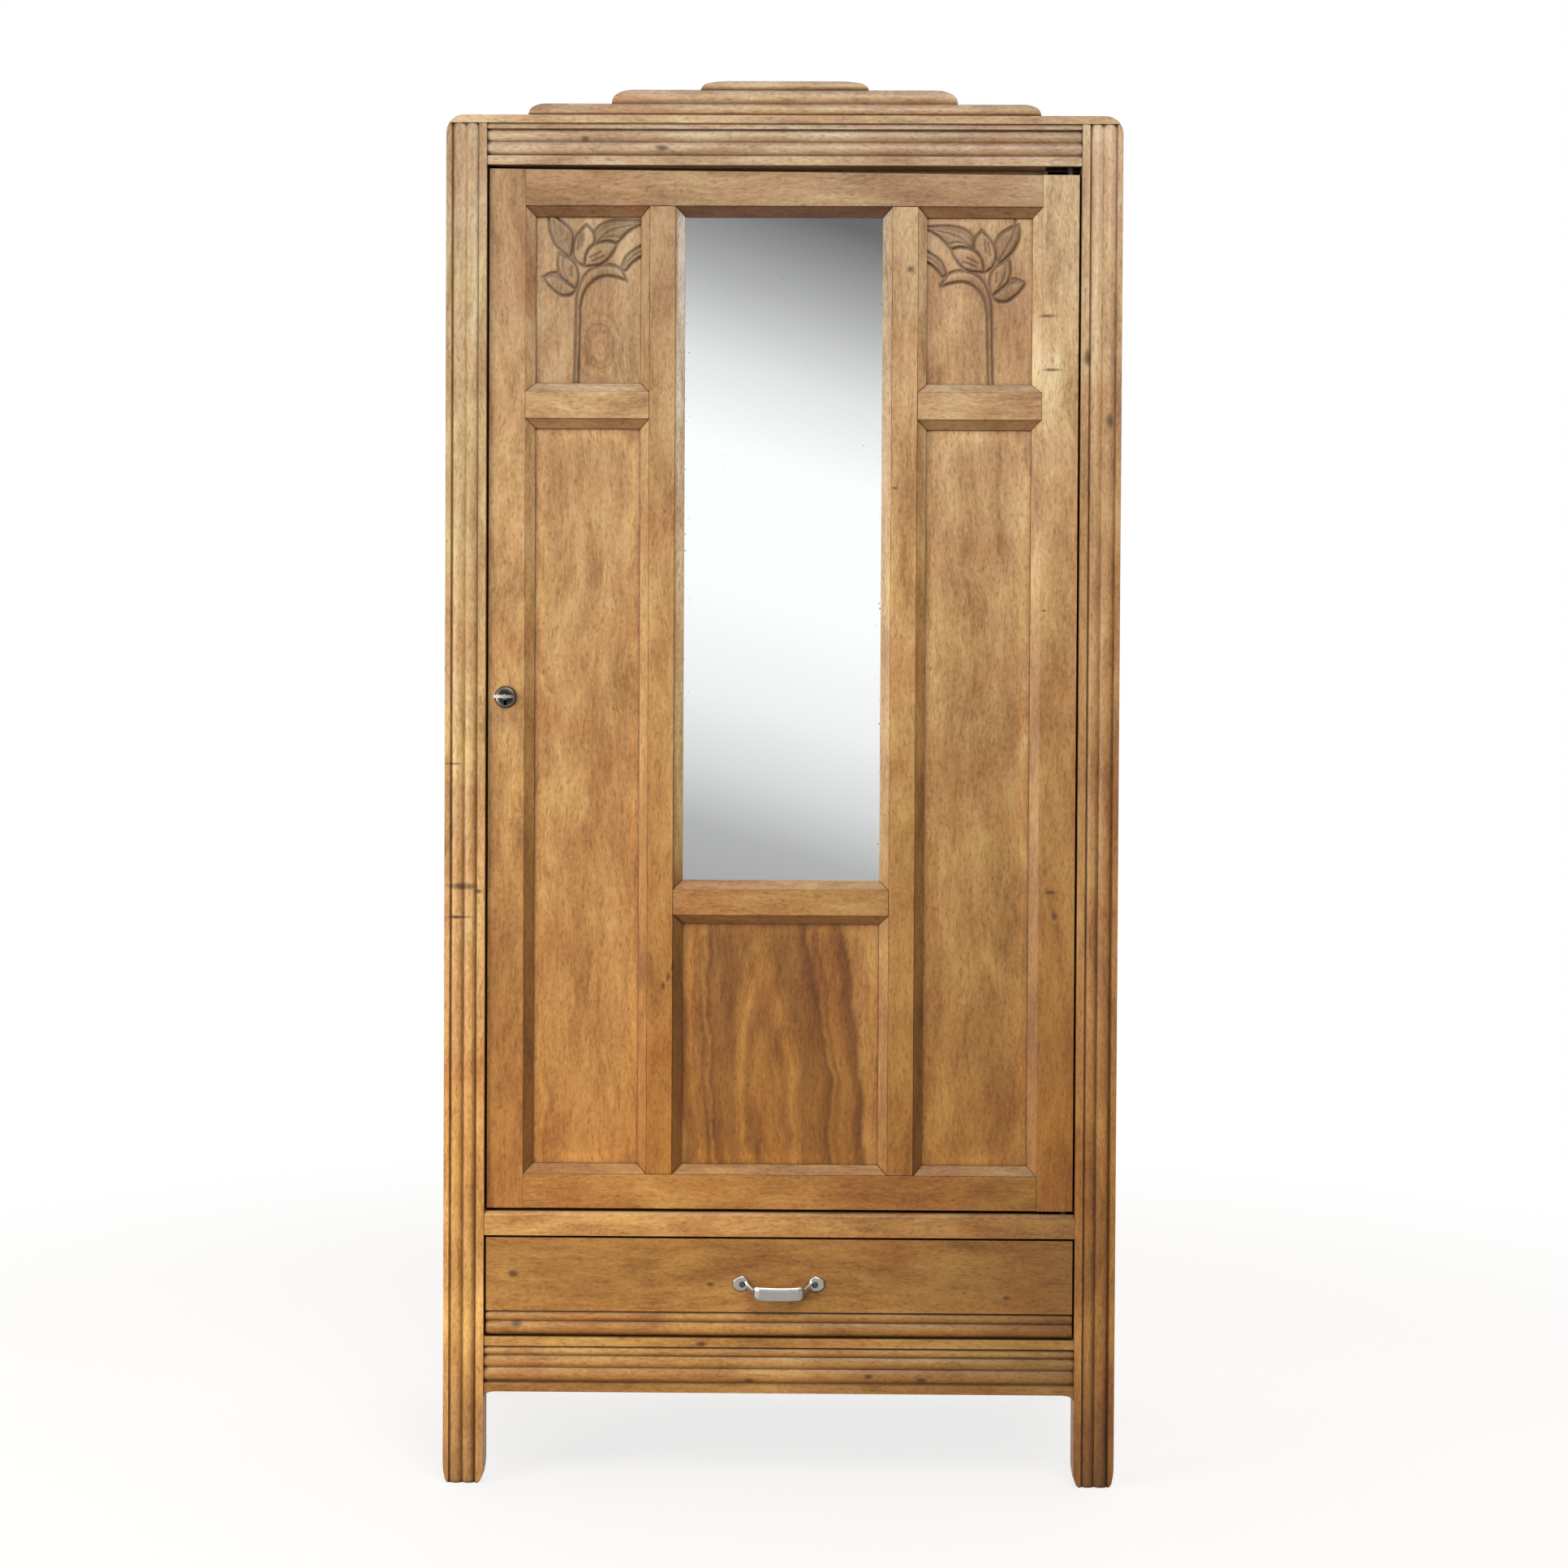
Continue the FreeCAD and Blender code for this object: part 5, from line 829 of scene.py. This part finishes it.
class WARDROBE_OT_stage(bpy.types.Operator):
    """Sets the pale floor, both soft lamps, the room light and the camera"""

    bl_idname = "wardrobe.stage"
    bl_label = "Stage"

    def execute(self, context):
        settings = context.scene.wardrobe_stage
        scene = context.scene
        floor_mesh = bpy.data.meshes.new("floor")
        shape = bmesh.new()
        bmesh.ops.create_grid(shape, x_segments=8, y_segments=8, size=FLOOR_REACH)
        shape.to_mesh(floor_mesh)
        shape.free()
        floor = bpy.data.objects.new("floor", floor_mesh)
        scene.collection.objects.link(floor)
        floor.location = (0.0, 0.0, -FLOOR_GAP)
        give(floor, self.floor_paint(settings))
        self.lamp(scene, "overhead_lamp", settings.overhead)
        self.lamp(scene, "window_lamp", settings.window)
        self.room(scene, settings)
        camera_data = bpy.data.cameras.new("camera")
        camera_data.sensor_width = CAMERA_SENSOR
        camera_data.lens = CAMERA_LENS
        camera = bpy.data.objects.new("camera", camera_data)
        camera.location = CAMERA_PLACE
        camera.rotation_euler = Euler([math.radians(turn) for turn in CAMERA_TURN])
        scene.collection.objects.link(camera)
        scene.camera = camera
        scene.view_settings.view_transform = "Standard"
        return {"FINISHED"}

    def floor_paint(self, settings):
        """Matt floor paint that the camera sees as white, with the shadow kept."""
        material, tree = blank("floor_paint_matt")
        rays = add(tree, "LightPath")
        seen = add(tree, "Math", [(rays, "Is Camera Ray"), (rays, "Is Glossy Ray")], operation="MAXIMUM")
        seen = add(tree, "Math", [seen, (rays, "Is Transmission Ray")], operation="MAXIMUM")
        lift = add(tree, "Math", [seen, settings.floor_lift], operation="MULTIPLY")
        tone = add(tree, "Mix", {0: seen, 6: settings.floor_bounce, 7: settings.floor}, **BLEND)
        near = add(tree, "AddShader", [add(tree, "BsdfDiffuse", [tone]), add(tree, "Emission", [WHITE, lift])])
        # From 1.2 m to 2.6 m off, the floor turns into the white of the background
        far = add(tree, "VectorMath", [(add(tree, "TexCoord"), "Object")], operation="LENGTH")
        fade = add(tree, "MapRange", [far, 1.2, 2.6], interpolation_type="SMOOTHSTEP")
        fade = add(tree, "Math", [fade, seen], operation="MULTIPLY")
        both = add(tree, "MixShader", [fade, near, add(tree, "Emission", [WHITE, 1.0])])
        add(tree, "OutputMaterial", [both])
        return material

    def lamp(self, scene, name, power):
        """Hangs one round soft lamp."""
        place, aim, size = LAMPS[name]
        data = bpy.data.lights.new(name, "AREA")
        data.shape = "DISK"
        data.size = size
        data.energy = power
        lamp = bpy.data.objects.new(name, data)
        lamp.location = place
        lamp.rotation_euler = (Vector(aim) - Vector(place)).to_track_quat("-Z", "Y").to_euler()
        scene.collection.objects.link(lamp)

    def room(self, scene, settings):
        """White where the camera looks, and grey walls in front of the door for the mirror."""
        world = bpy.data.worlds.new("studio")
        world.use_nodes = True
        tree = world.node_tree
        tree.nodes.clear()
        rays = add(tree, "LightPath")
        axes = add(tree, "SeparateXYZ", [(add(tree, "TexCoord"), "Generated")])
        slant = add(tree, "Math", [(axes, "X"), 0.3, (axes, "Z")], operation="MULTIPLY_ADD")
        rise = add(tree, "MapRange", [slant, -0.1, 0.3])
        greys = [(0.0, 0.4), (0.13, 0.55), (0.2, 0.84), (0.28, 1.06), (0.4, 1.2), (0.55, 1.2), (0.64, 0.95),
                 (0.73, 0.53), (0.82, 0.18), (1.0, 0.08)]
        around = add(tree, "ValToRGB", [rise], [(at, (grey,) * 3) for at, grey in greys])
        # Over head height and to the left there is a bright window, to the right a dim wall
        for axis, start, full, tone in (("Z", 0.25, 0.4, (1.15,) * 3), ("X", -0.35, -0.6, (1.3,) * 3),
                                        ("X", 0.35, 0.6, (0.35, 0.33, 0.3)), ("Y", -0.2, 0.3, (0.9,) * 3)):
            share = add(tree, "MapRange", [(axes, axis), start, full])
            around = add(tree, "Mix", {0: share, 6: around, 7: tone}, **BLEND)
        # The light on the front falls from above; sides and back get more of the room
        fall = add(tree, "MapRange", [(axes, "Z"), -0.3, 1.0, settings.fill * 0.5, settings.fill * 1.7])
        behind = add(tree, "MapRange", [(axes, "Y"), 0.0, 0.6, 1.0, 2.2])
        strength = add(tree, "Math", [fall, behind], operation="MULTIPLY")
        room = add(tree, "Background", [(1.0, 0.99, 0.97), strength])
        walls = add(tree, "Background", [around, 1.0])
        glossy = add(tree, "MixShader", [(rays, "Is Glossy Ray"), room, walls])
        seen = add(tree, "Math", [(rays, "Is Camera Ray"), (rays, "Is Transmission Ray")], operation="MAXIMUM")
        add(tree, "OutputWorld", [add(tree, "MixShader", [seen, glossy, add(tree, "Background", [WHITE, 1.0])])])
        scene.world = world


class WARDROBE_PT_sidebar(bpy.types.Panel):
    """Lists the steps of the wardrobe"""

    bl_idname = "WARDROBE_PT_sidebar"
    bl_label = "Wardrobe"
    bl_space_type = "VIEW_3D"
    bl_region_type = "UI"
    bl_category = "Wardrobe"

    def draw(self, context):
        for step in STEPS:
            self.layout.operator("wardrobe." + step)


STEPS = ["oak", "inner_boards", "carved_panels", "mirror", "metalwork", "fixing_screws", "stage"]
GROUPS = {"wardrobe_oak": OakSettings, "wardrobe_carving": CarvingSettings, "wardrobe_metal": MetalSettings,
          "wardrobe_stage": StageSettings}
CLASSES = [*GROUPS.values(), WARDROBE_OT_oak, WARDROBE_OT_inner_boards, WARDROBE_OT_carved_panels, WARDROBE_OT_mirror,
           WARDROBE_OT_metalwork, WARDROBE_OT_fixing_screws, WARDROBE_OT_stage, WARDROBE_PT_sidebar]


def register():
    for made in CLASSES:
        bpy.utils.register_class(made)
    for name, group in GROUPS.items():
        setattr(bpy.types.Scene, name, PointerProperty(type=group))


def unregister():
    for name in GROUPS:
        delattr(bpy.types.Scene, name)
    for made in reversed(CLASSES):
        bpy.utils.unregister_class(made)


def main():
    register()
    for step in STEPS:
        getattr(bpy.ops.wardrobe, step)()


if __name__ == "__main__":
    main()
